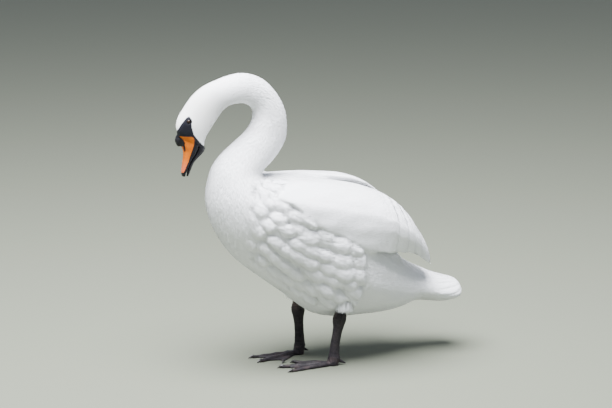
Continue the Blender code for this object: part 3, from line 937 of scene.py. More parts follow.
def surfaceOf(mesh, fields, lie, owner):
    # what the feathers need to know of the skin
    triangles, loops = readTriangles(mesh)
    places = readAll(mesh.uv_layers["OFBake"].uv, "vector", 2)
    points = readPoints(mesh)
    return {
        "points": points, "normals": readNormals(mesh), "triangles": triangles,
        "uv": places[loops], "lie": lie, "owner": owner, "fields": fields,
        "tree": BVHTree.FromPolygons(points.tolist(), triangles.tolist()),
    }


# Feathers: roots, shafts that follow the skin, and thin closed vanes.


def barycentric(surface, faces, places):
    a, b, c = (surface["points"][surface["triangles"][faces, k]] for k in range(3))
    first, second, away = b - a, c - a, places - a
    ff, fs, ss = (np.sum(x * y, axis=1) for x, y in ((first, first), (first, second), (second, second)))
    af, sa = np.sum(away * first, axis=1), np.sum(away * second, axis=1)
    scale = np.maximum(ff * ss - fs * fs, 1e-20)
    v = (ss * af - fs * sa) / scale
    w = (ff * sa - fs * af) / scale
    shares = np.clip(np.stack([1 - v - w, v, w], 1), 0, 1)
    return shares / shares.sum(1, keepdims=True)


def carried(surface, faces, shares, values):
    corner = values[surface["triangles"][faces]]
    if corner.ndim == 2:
        return np.sum(corner * shares, axis=1)
    return np.sum(corner * shares[:, :, None], axis=1)


def openFaces(surface):
    # faces with room for feathers outside them, so that none grow in the closed space under a wing
    triangles = surface["triangles"]
    centres = surface["points"][triangles].mean(1)
    normals = unit(surface["normals"][triangles].mean(1))
    cast = surface["tree"].ray_cast
    starts = (centres + normals * 0.5 * mm).tolist()
    blocked = [cast(p, n, skinValues["room"])[3] is not None for p, n in zip(starts, normals.tolist())]
    return ~np.array(blocked)


def scatteredRoots(surface, allowed, seed, density):
    # roots spread by the local spacing: candidates in a fixed random order, each kept if it has room
    draw = np.random.default_rng(seed)
    triangles = surface["triangles"]
    corners = surface["points"][triangles]
    areas = np.linalg.norm(np.cross(corners[:, 1] - corners[:, 0], corners[:, 2] - corners[:, 0]), axis=1) / 2
    spacing = surface["fields"]["spacing"][triangles].mean(1) / density
    expected = np.where(allowed, areas / spacing**2, 0)
    total = int(expected.sum() * 5)
    faces = draw.choice(len(triangles), total, p=expected / expected.sum())
    u, v = draw.random(total), draw.random(total)
    flip = u + v > 1
    u, v = np.where(flip, 1 - u, u), np.where(flip, 1 - v, v)
    shares = np.stack([1 - u - v, u, v], 1)
    places = carried(surface, faces, shares, surface["points"])
    room = carried(surface, faces, shares, surface["fields"]["spacing"]) / density
    cell = float(np.percentile(room, 90))
    keys = np.floor(places / cell).astype(int)
    grid, kept = {}, []
    spots = list(zip(keys.tolist(), places.tolist(), room.tolist()))
    around = [(i, j, k) for i in (-1, 0, 1) for j in (-1, 0, 1) for k in (-1, 0, 1)]
    for index, ((i, j, k), (x, y, z), need) in enumerate(spots):
        need2 = min(need, cell) ** 2
        free = True
        for di, dj, dk in around:
            for px, py, pz in grid.get((i + di, j + dj, k + dk), ()):
                if (px - x) ** 2 + (py - y) ** 2 + (pz - z) ** 2 < need2:
                    free = False
                    break
            if not free:
                break
        if free:
            grid.setdefault((i, j, k), []).append((x, y, z))
            kept.append(index)
    return faces[kept], shares[kept]


def turnedAbout(vectors, axes, angles):
    cosine, sine = np.cos(angles)[:, None], np.sin(angles)[:, None]
    return vectors * cosine + np.cross(axes, vectors) * sine


def shafts(surface, faces, shares, lengths, sway, stations, pace, bendLimit):
    # points, normals and headings along each feather, laid over the skin, and how far it stays on it
    place = carried(surface, faces, shares, surface["points"])
    normal = unit(carried(surface, faces, shares, surface["normals"]))
    rootNormal = normal
    heading = tangential(carried(surface, faces, shares, surface["lie"]), normal)
    heading = turnedAbout(heading, normal, sway)
    held = np.ones(len(place), bool)
    run = np.zeros(len(place))
    track = [(place, normal, heading)]
    nearest = surface["tree"].find_nearest
    longest = float(lengths.max())
    turnLimit = 0.5 if pace > 6 * mm or bendLimit < 0 else 0.75
    for before, after in zip(stations, stations[1:]):
        parts = max(1, math.ceil((after - before) * longest / pace))
        step = (after - before) * lengths / parts
        for _ in range(parts):
            guess = place + heading * step[:, None]
            found = [nearest(p) for p in guess.tolist()]
            spot = np.array([f[0] for f in found])
            hit = np.array([f[2] for f in found])
            inner = barycentric(surface, hit, spot)
            fresh = unit(carried(surface, hit, inner, surface["normals"]))
            reach = np.linalg.norm(spot - guess, axis=1)
            held = held & (np.sum(fresh * normal, axis=1) > turnLimit) & (reach < 0.5 * step + 3 * mm)
            held = held & (np.sum(fresh * rootNormal, axis=1) > bendLimit)
            run = run + np.where(held, step, 0)
            place = np.where(held[:, None], spot, guess)
            normal = np.where(held[:, None], fresh, normal)
            local = tangential(carried(surface, hit, inner, surface["lie"]), normal)
            local = np.where(held[:, None], turnedAbout(local, normal, sway), heading)
            heading = tangential(0.5 * heading + 0.5 * local, normal)
        track.append((place, normal, heading))
    return [np.stack([t[k] for t in track], 1) for k in range(3)] + [np.where(held, lengths, run)]


def kept(surface, faces, shares, lengths, sway, stations, values):
    # feathers that would stand out past an edge of the body are shortened, or left out if too short
    pace, limit = values["pace"], values["bendLimit"]
    spots, normals, headings, run = shafts(surface, faces, shares, lengths, sway, stations, pace, limit)
    fresh = np.where(run < lengths, np.minimum(run + values["overhang"], lengths), lengths)
    again = np.nonzero(fresh < lengths)[0]
    if len(again):
        redone = shafts(
            surface, faces[again], shares[again], fresh[again], sway[again], stations, pace, limit
        )
        spots[again], normals[again], headings[again] = redone[:3]
    fine = fresh > values["least"] * lengths
    return spots, normals, headings, (fresh / lengths) ** 0.7, fine


# Outline of a vane: shares of its length from root to tip, and of its width there.
vaneShapes = {
    "wisp": ((0, 0.45, 1.0), (0, 1.0, 0)),
    "narrow": ((0, 0.30, 0.64, 0.90, 1.0), (0, 0.80, 1.0, 0.62, 0)),
}


def vaneFaces(rings):
    faces = []
    for k in (2, 3, 0, 1):  # outer sides last: a point keeps the shading of the last side it belongs to
        after = (k + 1) % 4
        faces.append((0, 1 + after, 1 + k))
        for ring in range(rings - 1):
            near, far = 1 + 4 * ring, 5 + 4 * ring
            faces.append((near + k, near + after, far + after))
            faces.append((near + k, far + after, far + k))
        last = 1 + 4 * (rings - 1)
        faces.append((last + k, last + after, 1 + 4 * rings))
    return np.array(faces)


def vanes(centre, normal, heading, widths, shape, thickness, camber, roll, notch):
    # closed lens sections along each shaft, joined from a point at the root to a point at the tip
    stations, spread = vaneShapes[shape]
    rings = len(stations) - 2
    side = unit(np.cross(normal, heading))
    side = side * np.cos(roll)[:, None, None] + normal * np.sin(roll)[:, None, None]
    upward = unit(np.cross(heading, side))
    count = len(centre)
    points = np.empty((count, 4 * rings + 2, 3))
    across = np.empty((count, 4 * rings + 2))
    along = np.empty((count, 4 * rings + 2))
    points[:, 0], points[:, -1] = centre[:, 0], centre[:, -1]
    across[:, 0] = across[:, -1] = 0.5
    along[:, 0], along[:, -1] = 0, 1
    length = np.linalg.norm(centre[:, -1] - centre[:, 0], axis=1)
    for ring in range(rings):
        half = (widths * spread[ring + 1] / 2)[:, None]
        middle, out, up = centre[:, ring + 1], side[:, ring + 1], upward[:, ring + 1]
        thick = (thickness * min(1, 0.5 + spread[ring + 1] / 2))[:, None]
        drop = camber * half
        slip = (notch * length * stations[ring + 1] ** 3)[:, None] * heading[:, ring + 1]
        base = 1 + 4 * ring
        points[:, base] = middle + out * half - up * drop + slip
        points[:, base + 1] = middle + up * thick * 0.6
        points[:, base + 2] = middle - out * half - up * drop - slip
        points[:, base + 3] = middle - up * thick * 0.4
        across[:, base : base + 4] = (0.0, 0.5, 1.0, 0.5)
        along[:, base : base + 4] = stations[ring + 1]
    return points, across, along, vaneFaces(rings)


def tussocks(places, normals, headings, cell, seed):
    # small groups round seeded leaders: each feather's place in its group, along it and aside of it
    draw = np.random.default_rng(seed)
    order = draw.permutation(len(places))
    tree = KDTree(len(order))
    for index in order.tolist():
        tree.insert(places[index].tolist(), index)
    tree.balance()
    leader = np.full(len(places), -1)
    for index in order.tolist():
        if leader[index] < 0:
            near = [found[1] for found in tree.find_range(places[index].tolist(), cell * 0.62)]
            near = np.array(near)
            near = near[leader[near] < 0]
            leader[near] = index
    away = places - places[leader]
    sides = unit(np.cross(normals[leader], headings[leader]))
    along = np.clip(np.sum(away * headings[leader], axis=1) / cell, -1, 1)
    aside = np.clip(np.sum(away * sides, axis=1) / cell, -1, 1)
    return along, aside, sides


def softened(mesh, faces, bodyNormals, soft):
    # shading between each face's own slope and the body's, as the fringes of soft feathers give
    bodyNormals = unit(bodyNormals + np.array([0, 0, plumageValues["lightCatch"]]))
    corners = readPoints(mesh)[faces]
    own = unit(np.cross(corners[:, 1] - corners[:, 0], corners[:, 2] - corners[:, 0]))
    body = bodyNormals.reshape(-1, 3)[faces]
    outward = np.sum(own[:, None] * body, axis=2, keepdims=True)
    smooth = readNormals(mesh)[faces]
    share = np.where(outward > -0.2, soft, 0.0)
    mixed = unit(smooth * (1 - share) + body * share)
    facing = np.sum(mixed * own[:, None], axis=2, keepdims=True)
    mixed = np.where(facing < 0.05, unit(mixed + own[:, None] * (0.08 - facing)), mixed)
    layer = mesh.attributes.new("custom_normal", "FLOAT_VECTOR", "CORNER")
    layer.data.foreach_set("vector", mixed.astype(np.float32).ravel())
    mesh.update()


featherFinishes = {}


def featherFinish(barbs):
    if barbs not in featherFinishes:
        featherFinishes[barbs] = featherMaterial("feather%d" % len(featherFinishes), barbs)
    return featherFinishes[barbs]


coatDefaults = {
    "thickness": 0.35 * mm,
    "camber": 0.22,
    "roll": 7.0,
    "cell": 12.0 * mm,
    "overhang": 6.0 * mm,
    "pace": 9.0 * mm,
    "bendLimit": -1.0,
    "least": 0.4,
    "ruffle": 0.5,
    "rough": 0.2,
    "soft": 0.5,
    "barbs": 14.0,
}


featherValues = {
    "quickDensity": 0.6,
    "length": (0.85, 1.15),  # smallest and largest share of the length and width that the solid asks for
    "width": (0.88, 1.12),
    "ownSway": 0.7,
    "sharedSway": 0.8,
    "swaySize": 50.0 * mm,
    "lift": 0.85,  # the lower, the sooner a feather leaves the skin
    "ruffle": (0.9, -0.7, 0.15),  # along and aside of its tussock's middle, and in general
    "rough": 0.6,
    "heights": (0.35, 2.0),
    "rootDepth": 0.25 * mm,
    "sag": 0.8 * mm,
    "draw": 1.5,
}


def growCoat(name, surface, allowed, shape, seed, extra):
    # one piece of coat: feathers over the allowed faces of the skin
    values = {**coatDefaults, **extra}
    density = 1.0
    faces, shares = scatteredRoots(surface, allowed, seed, density)
    draw = np.random.default_rng(seed + 1000)
    fields = {k: carried(surface, faces, shares, f) for k, f in surface["fields"].items()}
    count = len(faces)
    places = carried(surface, faces, shares, surface["points"])
    stations = vaneShapes[shape][0]
    lengths = fields["length"] * draw.uniform(*featherValues["length"], count)
    widths = fields["width"] * draw.uniform(*featherValues["width"], count)
    sway = draw.normal(0, featherValues["ownSway"], count)
    sway = sway + featherValues["sharedSway"] * waves(places, featherValues["swaySize"], seed + 5)
    sway = np.radians(fields["sway"]) * sway
    spots, normals, headings, cut, fine = kept(surface, faces, shares, lengths, sway, stations, values)
    fields = {k: f[fine] for k, f in fields.items()}
    spots, normals, headings, places = spots[fine], normals[fine], headings[fine], places[fine]
    faces, shares, widths = faces[fine], shares[fine], (widths * cut)[fine]
    count = len(faces)
    stand = np.array(stations) ** featherValues["lift"]
    along, aside, sides = tussocks(places, normals[:, 0], headings[:, 0], values["cell"], seed + 3)
    height = fields["height"]
    riseAlong, riseAside, riseAll = featherValues["ruffle"]
    rise = values["ruffle"] * (riseAlong * along + riseAside * np.abs(aside) + riseAll)
    height = height * (1 + rise + values["rough"] * draw.normal(0, featherValues["rough"], count))
    height = np.clip(height, *(limit * fields["height"] for limit in featherValues["heights"]))
    sunk = featherValues["rootDepth"] * (1 - np.array(stations))
    gaps = np.linalg.norm(np.diff(spots, axis=1), axis=2)
    bend = np.sum(np.diff(normals, axis=1) * headings[:, 1:], axis=2)
    # a straight stretch over a rounded body lies lower in its middle
    sag = np.clip(gaps * bend / 12, 0, featherValues["sag"]).max(1)
    centre = spots + normals * ((height + sag)[:, None] * stand[None] - sunk[None])[:, :, None]
    pull = fields["clump"] * aside * values["cell"]
    pull = pull[:, None] * np.array(stations)[None] ** featherValues["draw"]
    centre = centre - pull[:, :, None] * sides[:, None]
    roll = np.radians(values["roll"]) * draw.normal(0, 1, count)
    plumage(name, surface, faces, shares, centre, normals, headings, widths, shape, roll, values, draw)


def plumage(name, surface, faces, shares, centre, normals, headings, widths, shape, roll, values, draw):
    # one mesh of all the vanes, with its patches on the unwrapped skin and its tones
    count = len(faces)
    notch = draw.uniform(-0.05, 0.05, count)
    thickness = np.full(count, values["thickness"])
    points, across, along, pattern = vanes(
        centre, normals, headings, widths, shape, thickness, values["camber"], roll, notch
    )
    perFeather = points.shape[1]
    rings = (perFeather - 2) // 4
    pointNormals = normals[:, [0] + [1 + k for k in range(rings) for _ in range(4)] + [rings + 1]]
    faceList = (pattern[None] + np.arange(count)[:, None, None] * perFeather).reshape(-1, 3)
    mesh = meshFrom(name, points.reshape(-1, 3), faceList)
    mesh.shade_smooth()
    softened(mesh, faceList, pointNormals, values["soft"])
    rootUv = np.sum(surface["uv"][faces] * shares[:, :, None], axis=1)
    patch = np.stack([across - 0.5, along - 0.5], 2) * 0.003
    bakeUv = np.clip(rootUv[:, None] + patch, 0, 1).reshape(-1, 2)
    corners = faceList.ravel()
    for layerName, uv in (("OFBake", bakeUv), ("vane", np.stack([across, along], 2).reshape(-1, 2))):
        layer = mesh.uv_layers.new(name=layerName)
        layer.uv.foreach_set("vector", uv[corners].astype(np.float32).ravel())
    # tone: a random share per feather, and painted shade darkening each vane towards its root, where it lies
    # under the others
    setValues(mesh, "tone", draw.random(count)[:, None] * 0.6 + 0.4 * (1 - along))
    places = carried(surface, faces, shares, surface["points"])
    setValues(mesh, "stain", np.repeat(stainOf(places), perFeather))
    placed(name, mesh, featherFinish(values["barbs"]))
    print(name + ":", count, "feathers,", len(faceList), "triangles")


def stainOf(points):
    # a faint ivory tinge over the crown and cheeks
    place = headPlaces(points) / mm
    reach = np.sqrt(place[:, 1] ** 2 + (place[:, 2] - 10) ** 2)
    return 0.55 * (1 - ramp(reach, 30, 120))


def onNodes(surface, names):
    wanted = np.isin(surface["owner"], [fleshNodes.index(name) for name in names])
    return wanted[surface["triangles"]].mean(1) > 0.5


def setPlumes(name, surface, roots, headings, outward, lengths, widths, bend, seed, values):
    # loose plumes that leave the skin: straight shafts with a slight bend along "outward"
    draw = np.random.default_rng(seed)
    stations = np.array(vaneShapes["wisp"][0])
    count = len(roots)
    reach = stations[None] * lengths[:, None]
    arch = (bend[:, None] * np.sin(stations * math.pi * 0.6)[None])[:, :, None]
    centre = roots[:, None] + headings[:, None] * reach[:, :, None] + outward[:, None] * arch
    heading = np.repeat(unit(headings)[:, None], len(stations), 1)
    normal = np.repeat(unit(outward)[:, None], len(stations), 1)
    found = [surface["tree"].find_nearest(p) for p in roots.tolist()]
    faces = np.array([f[2] for f in found])
    shares = barycentric(surface, faces, np.array([f[0] for f in found]))
    roll = np.radians(values["roll"]) * draw.normal(0, 1, count)
    plumage(name, surface, faces, shares, centre, normal, heading, widths, "wisp", roll, values, draw)


# The bill.


billValues = {
    "voxel": 0.95 * mm,
    "grow": 0.4 * mm,
    "evenRounds": 7,
    "overlap": 5.0,  # how far the horn reaches under the skin, in millimetres
    "sunk": 3.2 * mm,
    "foldFill": 2.6 * mm,  # the notch between knob and bill is filled out
    "foldUp": -38.0,
    "foldSize": 5.0,
    "foldAhead": (17, 22),
    "foldRounds": 45,
    "slitDepth": 2.2 * mm,
    "knob": ((0, 24, -51), (10, 11, 15)),  # its middle and half sizes from the eyes, in millimetres
    "wrinkle": 0.11 * mm,
    "wrinkleSize": 2.8 * mm,
    "edgeGroove": 0.45 * mm,
    "edgePlace": (1.0, 0.7),  # how far the groove lies outside the orange, and its width
    "edgeUnder": -50,
    "edgeBehind": 14,
    "nailGroove": 0.4 * mm,
    "nailTop": (-131.5, -129.5, -129.0, -127.0),
    "pinkFrom": (88, 122),
}


def trimmed(mesh, keep):
    def cut(bm):
        bm.verts.ensure_lookup_table()
        bmesh.ops.delete(bm, geom=[bm.verts[k] for k in np.nonzero(~keep)[0].tolist()], context="VERTS")
        bmesh.ops.delete(bm, geom=[v for v in bm.verts if not v.link_faces], context="VERTS")

    edited(mesh, cut)


def buildUpperBill():
    mesh = remeshed(["bill_upper", "bill_nail", "bill_knob", "head"], billValues["voxel"], billValues["grow"])
    points = readPoints(mesh)
    trimmed(mesh, markingDistance(points, "horn") < billValues["overlap"])
    net = network(len(mesh.vertices), readEdges(mesh))
    points = evened(readPoints(mesh), net, billValues["evenRounds"])
    places = headPlaces(points) / mm
    fold = np.exp(-(((places[:, 2] - billValues["foldUp"]) / billValues["foldSize"]) ** 2))
    fold = fold * ramp(places[:, 1], *billValues["foldAhead"])
    filled = points + readNormals(mesh) * (billValues["foldFill"] * fold)[:, None]
    filled = evened(filled, net, billValues["foldRounds"])
    points = points + (filled - points) * np.minimum(1.3 * fold, 1)[:, None]
    writePoints(mesh, points)
    normals = readNormals(mesh)
    rise = -billValues["sunk"] * ramp(markingDistance(points, "horn"), -0.6, 2.6)
    slit = 1 - ramp(slitDistance(points), 0.25, 1.25)
    rise -= billValues["slitDepth"] * slit * (np.abs(places[:, 0]) > 3)
    middle, half = billValues["knob"]
    knob = 1 - ramp(np.linalg.norm((places - middle) / half, axis=1), 0.85, 1.15)
    wrinkle, wrinkleSize = billValues["wrinkle"], billValues["wrinkleSize"]
    rise += wrinkle * knob * waves(points, wrinkleSize, 61)
    rise += 2.5 * wrinkle * knob * waves(points, 4 * wrinkleSize, 63)
    place, width = billValues["edgePlace"]
    groove = np.exp(-(((markingDistance(points, "orange") - place) / width) ** 2))
    groove = groove * (places[:, 2] < billValues["edgeUnder"]) * (places[:, 1] < billValues["edgeBehind"])
    rise -= billValues["edgeGroove"] * groove
    nailTop = billValues["nailTop"]
    nailTop = ramp(places[:, 2], *nailTop[:2]) * (1 - ramp(places[:, 2], *nailTop[2:]))
    rise -= billValues["nailGroove"] * nailTop
    points = raised(mesh, points, normals, rise)
    setValues(mesh, "orange", orangeShare(points) * (1 - ramp(knob, 0.25, 0.5)))
    setValues(mesh, "tip", ramp(-places[:, 2], *billValues["pinkFrom"]))
    replaced = ["bill_upper", "bill_nail", "bill_knob"]
    placed("upperBill", mesh, hornMaterial("upperBillHorn", False), replaced)
    print("upper bill:", len(points), "points")


# The lower bill, in millimetres from the line where it meets the skin or from the eyes.
jawValues = {
    "overlap": 4.5,
    "behind": -19,
    "under": -72,
    "evenRounds": 6,
    "joint": (-1.5, 3.5),  # the smoothed stretch at the skin: its middle and its size
    "jointRounds": 40,
    "forkHalf": 2.2,  # the hollow between the two arms of the jaw
    "forkBehind": -22,
    "forkFrom": (78, 90),
    "forkDepth": 0.8 * mm,
    "bumps": 0.12 * mm,
    "bumpSize": 5.0 * mm,
    "sunk": 3.0 * mm,
    "sunkFrom": (0.0, 3.2),
}


def buildLowerBill():
    mesh = remeshed(["bill_lower", "head"], billValues["voxel"], billValues["grow"])
    places = headPlaces(readPoints(mesh)) / mm
    start, end = (np.array(p) for p in headMarkings["jaw"])
    along = unit(end - start)
    outward = np.array([-along[1], along[0]]) * -1
    if outward[1] < 0:
        outward = -outward
    past = (places[:, 1:] - start) @ outward
    jaw = (places[:, 1] < jawValues["behind"]) | (places[:, 2] < jawValues["under"])
    trimmed(mesh, (past < jawValues["overlap"]) & jaw)
    net = network(len(mesh.vertices), readEdges(mesh))
    points = evened(readPoints(mesh), net, jawValues["evenRounds"])
    past = (headPlaces(points)[:, 1:] / mm - start) @ outward
    middle, size = jawValues["joint"]
    joint = np.exp(-(((past - middle) / size) ** 2))
    points = points + (evened(points, net, jawValues["jointRounds"]) - points) * joint[:, None]
    writePoints(mesh, points)
    normals = readNormals(mesh)
    places = headPlaces(points) / mm
    past = (places[:, 1:] - start) @ outward
    fork = np.exp(-((places[:, 0] / jawValues["forkHalf"]) ** 2)) * (places[:, 1] < jawValues["forkBehind"])
    fork = fork * ramp(-places[:, 2], *jawValues["forkFrom"])
    bumps = jawValues["bumps"] * waves(points, jawValues["bumpSize"], 62)
    rise = -jawValues["forkDepth"] * fork + bumps - jawValues["sunk"] * ramp(past, *jawValues["sunkFrom"])
    points = raised(mesh, points, normals, rise)
    placed("lowerBill", mesh, hornMaterial("lowerBillHorn"), ["bill_lower"])
    print("lower bill:", len(points), "points")


# The eyes.

eyeValues = {
    "rings": 48,
    "segments": 64,
    "irisRadius": 3.7 * mm,
    "pupilRadius": 1.75 * mm,
    "irisSoft": 0.25 * mm,
    "pupilSoft": 0.15 * mm,
    "corneaRadius": 4.2 * mm,
    "corneaRise": 0.45 * mm,
    "forward": 8.0,  # degrees that each eye looks ahead of straight sideways
}


def buildEyes():
    material = eyeMaterial()
    ball = {"u_segments": eyeValues["segments"], "v_segments": eyeValues["rings"], "radius": eyeSize}
    for side, mirror in mirrors.items():
        outward = headAcross * mirror
        turn = math.radians(eyeValues["forward"])
        axis = outward * math.cos(turn) + headAhead * math.sin(turn)
        mesh = edited(bpy.data.meshes.new("eye"), lambda bm: bmesh.ops.create_uvsphere(bm, **ball))
        points = readPoints(mesh)
        radius = np.hypot(points[:, 0], points[:, 1])
        front = points[:, 2] > 0
        points[:, 2] += eyeValues["corneaRise"] * (1 - ramp(radius, 0, eyeValues["corneaRadius"])) * front
        spin = Vector((0, 0, 1)).rotation_difference(Vector(axis)).to_matrix()
        points = points @ np.array(spin).T + np.array(eyeCentres[side])
        writePoints(mesh, points)
        mesh.shade_smooth()
        for ring in ("iris", "pupil"):
            edge, soft = eyeValues[ring + "Radius"], eyeValues[ring + "Soft"]
            setValues(mesh, ring, (1 - ramp(radius, edge - soft, edge + soft)) * front)
        placed("eyeball" + side.title(), mesh, material, ["eye_" + side])
    print("eyes set")


# The legs and feet.

legValues = {
    "voxel": 0.85 * mm,
    "grow": 0.3 * mm,
    "evenRounds": 5,
    "frontFacing": (0.25, 0.5),
    "wobble": 0.5 * mm,
    "wobbleSize": 20.0 * mm,
    "toeStart": 6.0 * mm,
    "clawCover": 3.0 * mm,
    "clawSunk": 1.6 * mm,
    "bumps": 0.10 * mm,
    "bumpSize": 6.0 * mm,
    "frontBand": 4.6 * mm,  # height of the plates down the shank's front
    "toeBand": 3.8 * mm,
    "cellShank": 3.0 * mm,
    "groove": 0.34 * mm,
    "grooveWidth": 0.55 * mm,
    "shankFrom": (0.018, 0.030),  # heights over the floor between which foot turns into shank
    "creaseFrom": (0.095, 0.11),
    "creaseHeight": 0.35 * mm,
    "creaseSize": 10.0 * mm,
    "paintedHighlightFrom": (0.110, 0.130),
    "paintedHighlightFacing": (0.2, 0.8),
    "footPale": 0.25,
    "footPaleSize": 30.0 * mm,
    "footPaleFrom": (0.2, 0.9),
    # strength of the painted highlight on each shank's upper front, stronger on the right leg
    "pale": {"left": 0.35, "right": 0.75},
}

# Each front toe: angle from straight ahead, length and root radius, as in the frame's feet.
toeMeasures = ((-23.0, 100.0, 7.2), (1.0, 132.0, 8.0), (22.0, 126.0, 7.0))
footPlaces = {"left": (0.071, -0.0035, 12.0), "right": (-0.071, -0.0335, 20.0)}


def footAxes(side):
    x, y, inward = footPlaces[side]
    return np.array([x, y, 0]), math.radians(-mirrors[side] * inward)


def toeLines(side):
    hub, turn = footAxes(side)
    lines = []
    for angle, length, radius in toeMeasures:
        angle = math.radians(angle * mirrors[side]) + turn
        heading = np.array([math.sin(angle), -math.cos(angle), 0])
        lines.append((hub, heading, length * mm, radius * mm))
    return lines


def cellPattern(points, active, spacing, seed):
    # small irregular scales: how near each point is to a border, and which scale it is in
    draw = np.random.default_rng(seed)
    picked = np.nonzero(active)[0]
    places = points[picked]
    size = spacing * 0.8
    grid, centres = {}, []
    for x, y, z in places[draw.permutation(len(places))].tolist():
        i, j, k = int(x // size), int(y // size), int(z // size)
        free = True
        for a in (i - 1, i, i + 1):
            for b in (j - 1, j, j + 1):
                for c in (k - 1, k, k + 1):
                    for px, py, pz in grid.get((a, b, c), ()):
                        if (px - x) ** 2 + (py - y) ** 2 + (pz - z) ** 2 < size * size:
                            free = False
        if free:
            grid.setdefault((i, j, k), []).append((x, y, z))
            centres.append((x, y, z))
    tree = KDTree(len(centres))
    for index, centre in enumerate(centres):
        tree.insert(centre, index)
    tree.balance()
    tones = draw.random(len(centres))
    border = np.ones(len(points))
    tone = np.full(len(points), 0.5)
    for index, place in zip(picked.tolist(), places.tolist()):
        (_, first, near), (_, _, far) = tree.find_n(place, 2)
        border[index] = far - near
        tone[index] = tones[first]
    return border, tone


def bands(distance, height, offset=0.0):
    # plates across a shank or a toe: how far each point is from a border, and its plate's tone
    line = distance / height
    whole = np.floor(line)
    border = (0.5 - np.abs(line - whole - 0.5)) * height
    return border, np.modf(np.abs(np.sin(whole * 12.9898 + offset) * 43758.5453))[0]


def buildLeg(side):
    mesh = remeshed(["shank_" + side, "foot_" + side], legValues["voxel"], legValues["grow"])
    net = network(len(mesh.vertices), readEdges(mesh))
    points = evened(readPoints(mesh), net, legValues["evenRounds"])
    writePoints(mesh, points)
    normals = readNormals(mesh)
    turn = footAxes(side)[1]
    ahead = np.array([math.sin(turn), -math.cos(turn), 0])
    shank = ramp(points[:, 2], *legValues["shankFrom"])
    front = ramp(normals @ ahead, *legValues["frontFacing"]) * shank
    wobble = legValues["wobble"] * waves(points, legValues["wobbleSize"], 71)
    bandBorder, bandTone = bands(points[:, 2] + wobble, legValues["frontBand"])
    toeMask = np.zeros(len(points))
    toeBorder = np.ones(len(points))
    toeTone = np.full(len(points), 0.5)
    clawMask = np.zeros(len(points))
    for origin, heading, length, radius in toeLines(side):
        away = points - origin
        along = away @ heading
        aside = np.linalg.norm((away - along[:, None] * heading)[:, :2], axis=1)
        mask = (along > legValues["toeStart"]) & (normals[:, 2] > -0.2)
        mask = mask & (aside < radius * (1.05 - 0.4 * along / length))
        border, tone = bands(along, legValues["toeBand"], radius * 1e5)
        toeBorder = np.where(mask, border, toeBorder)
        toeTone = np.where(mask, tone, toeTone)
        toeMask = np.maximum(toeMask, mask * (1 - shank))
        claw = ramp(along, length - legValues["clawCover"], length) * (aside < radius * 1.2)
        clawMask = np.maximum(clawMask, claw)
    border, tone = cellPattern(points, front < 0.6, legValues["cellShank"], 72)
    for mask, newBorder, newTone in ((front, bandBorder, bandTone), (toeMask, toeBorder, toeTone)):
        border = np.where(mask > 0.5, newBorder, border)
        tone = np.where(mask > 0.5, newTone, tone)
    border = np.where((np.abs(front - 0.5) < 0.12) & (toeMask < 0.5), 0, border)
    groove = (1 - ramp(border, 0.0, legValues["grooveWidth"])) * (1 - clawMask)
    creases = ramp(points[:, 2], *legValues["creaseFrom"]) * legValues["creaseHeight"]
    creases = creases * waves(points * (1, 1, 2.4), legValues["creaseSize"], 73)
    bumps = legValues["bumps"] * waves(points, legValues["bumpSize"], 74)
    rise = -legValues["groove"] * groove + creases + bumps
    rise = rise - legValues["clawSunk"] * clawMask
    points = points + normals * rise[:, None]
    points[:, 2] = np.maximum(points[:, 2], 0.0)
    writePoints(mesh, points)
    mesh.shade_smooth()
    setValues(mesh, "groove", groove)
    setValues(mesh, "cell", tone)
    # a painted highlight on the upper front of each shank, where it faces ahead; real paler patches on the
    # feet
    high = ramp(points[:, 2], *legValues["paintedHighlightFrom"])
    pale = high * ramp(normals @ ahead, *legValues["paintedHighlightFacing"]) * legValues["pale"][side]
    patches = ramp(waves(points, legValues["footPaleSize"], 75), *legValues["footPaleFrom"])
    pale = np.maximum(pale, legValues["footPale"] * (1 - shank) * patches)
    setValues(mesh, "pale", pale)
    placed("leg" + side.title(), mesh, legMaterial(), ["shank_" + side, "foot_" + side])
    print("leg", side + ":", len(points), "points")


clawValues = {
    "rings": 14,
    "around": 16,
    "length": 14.0 * mm,
    "back": 3.0 * mm,  # how far each claw starts behind its toe's end
    "taper": 0.88,
    "narrow": 0.82,
    "hollowBelow": 0.55,
    "arch": 1.6 * mm,
}


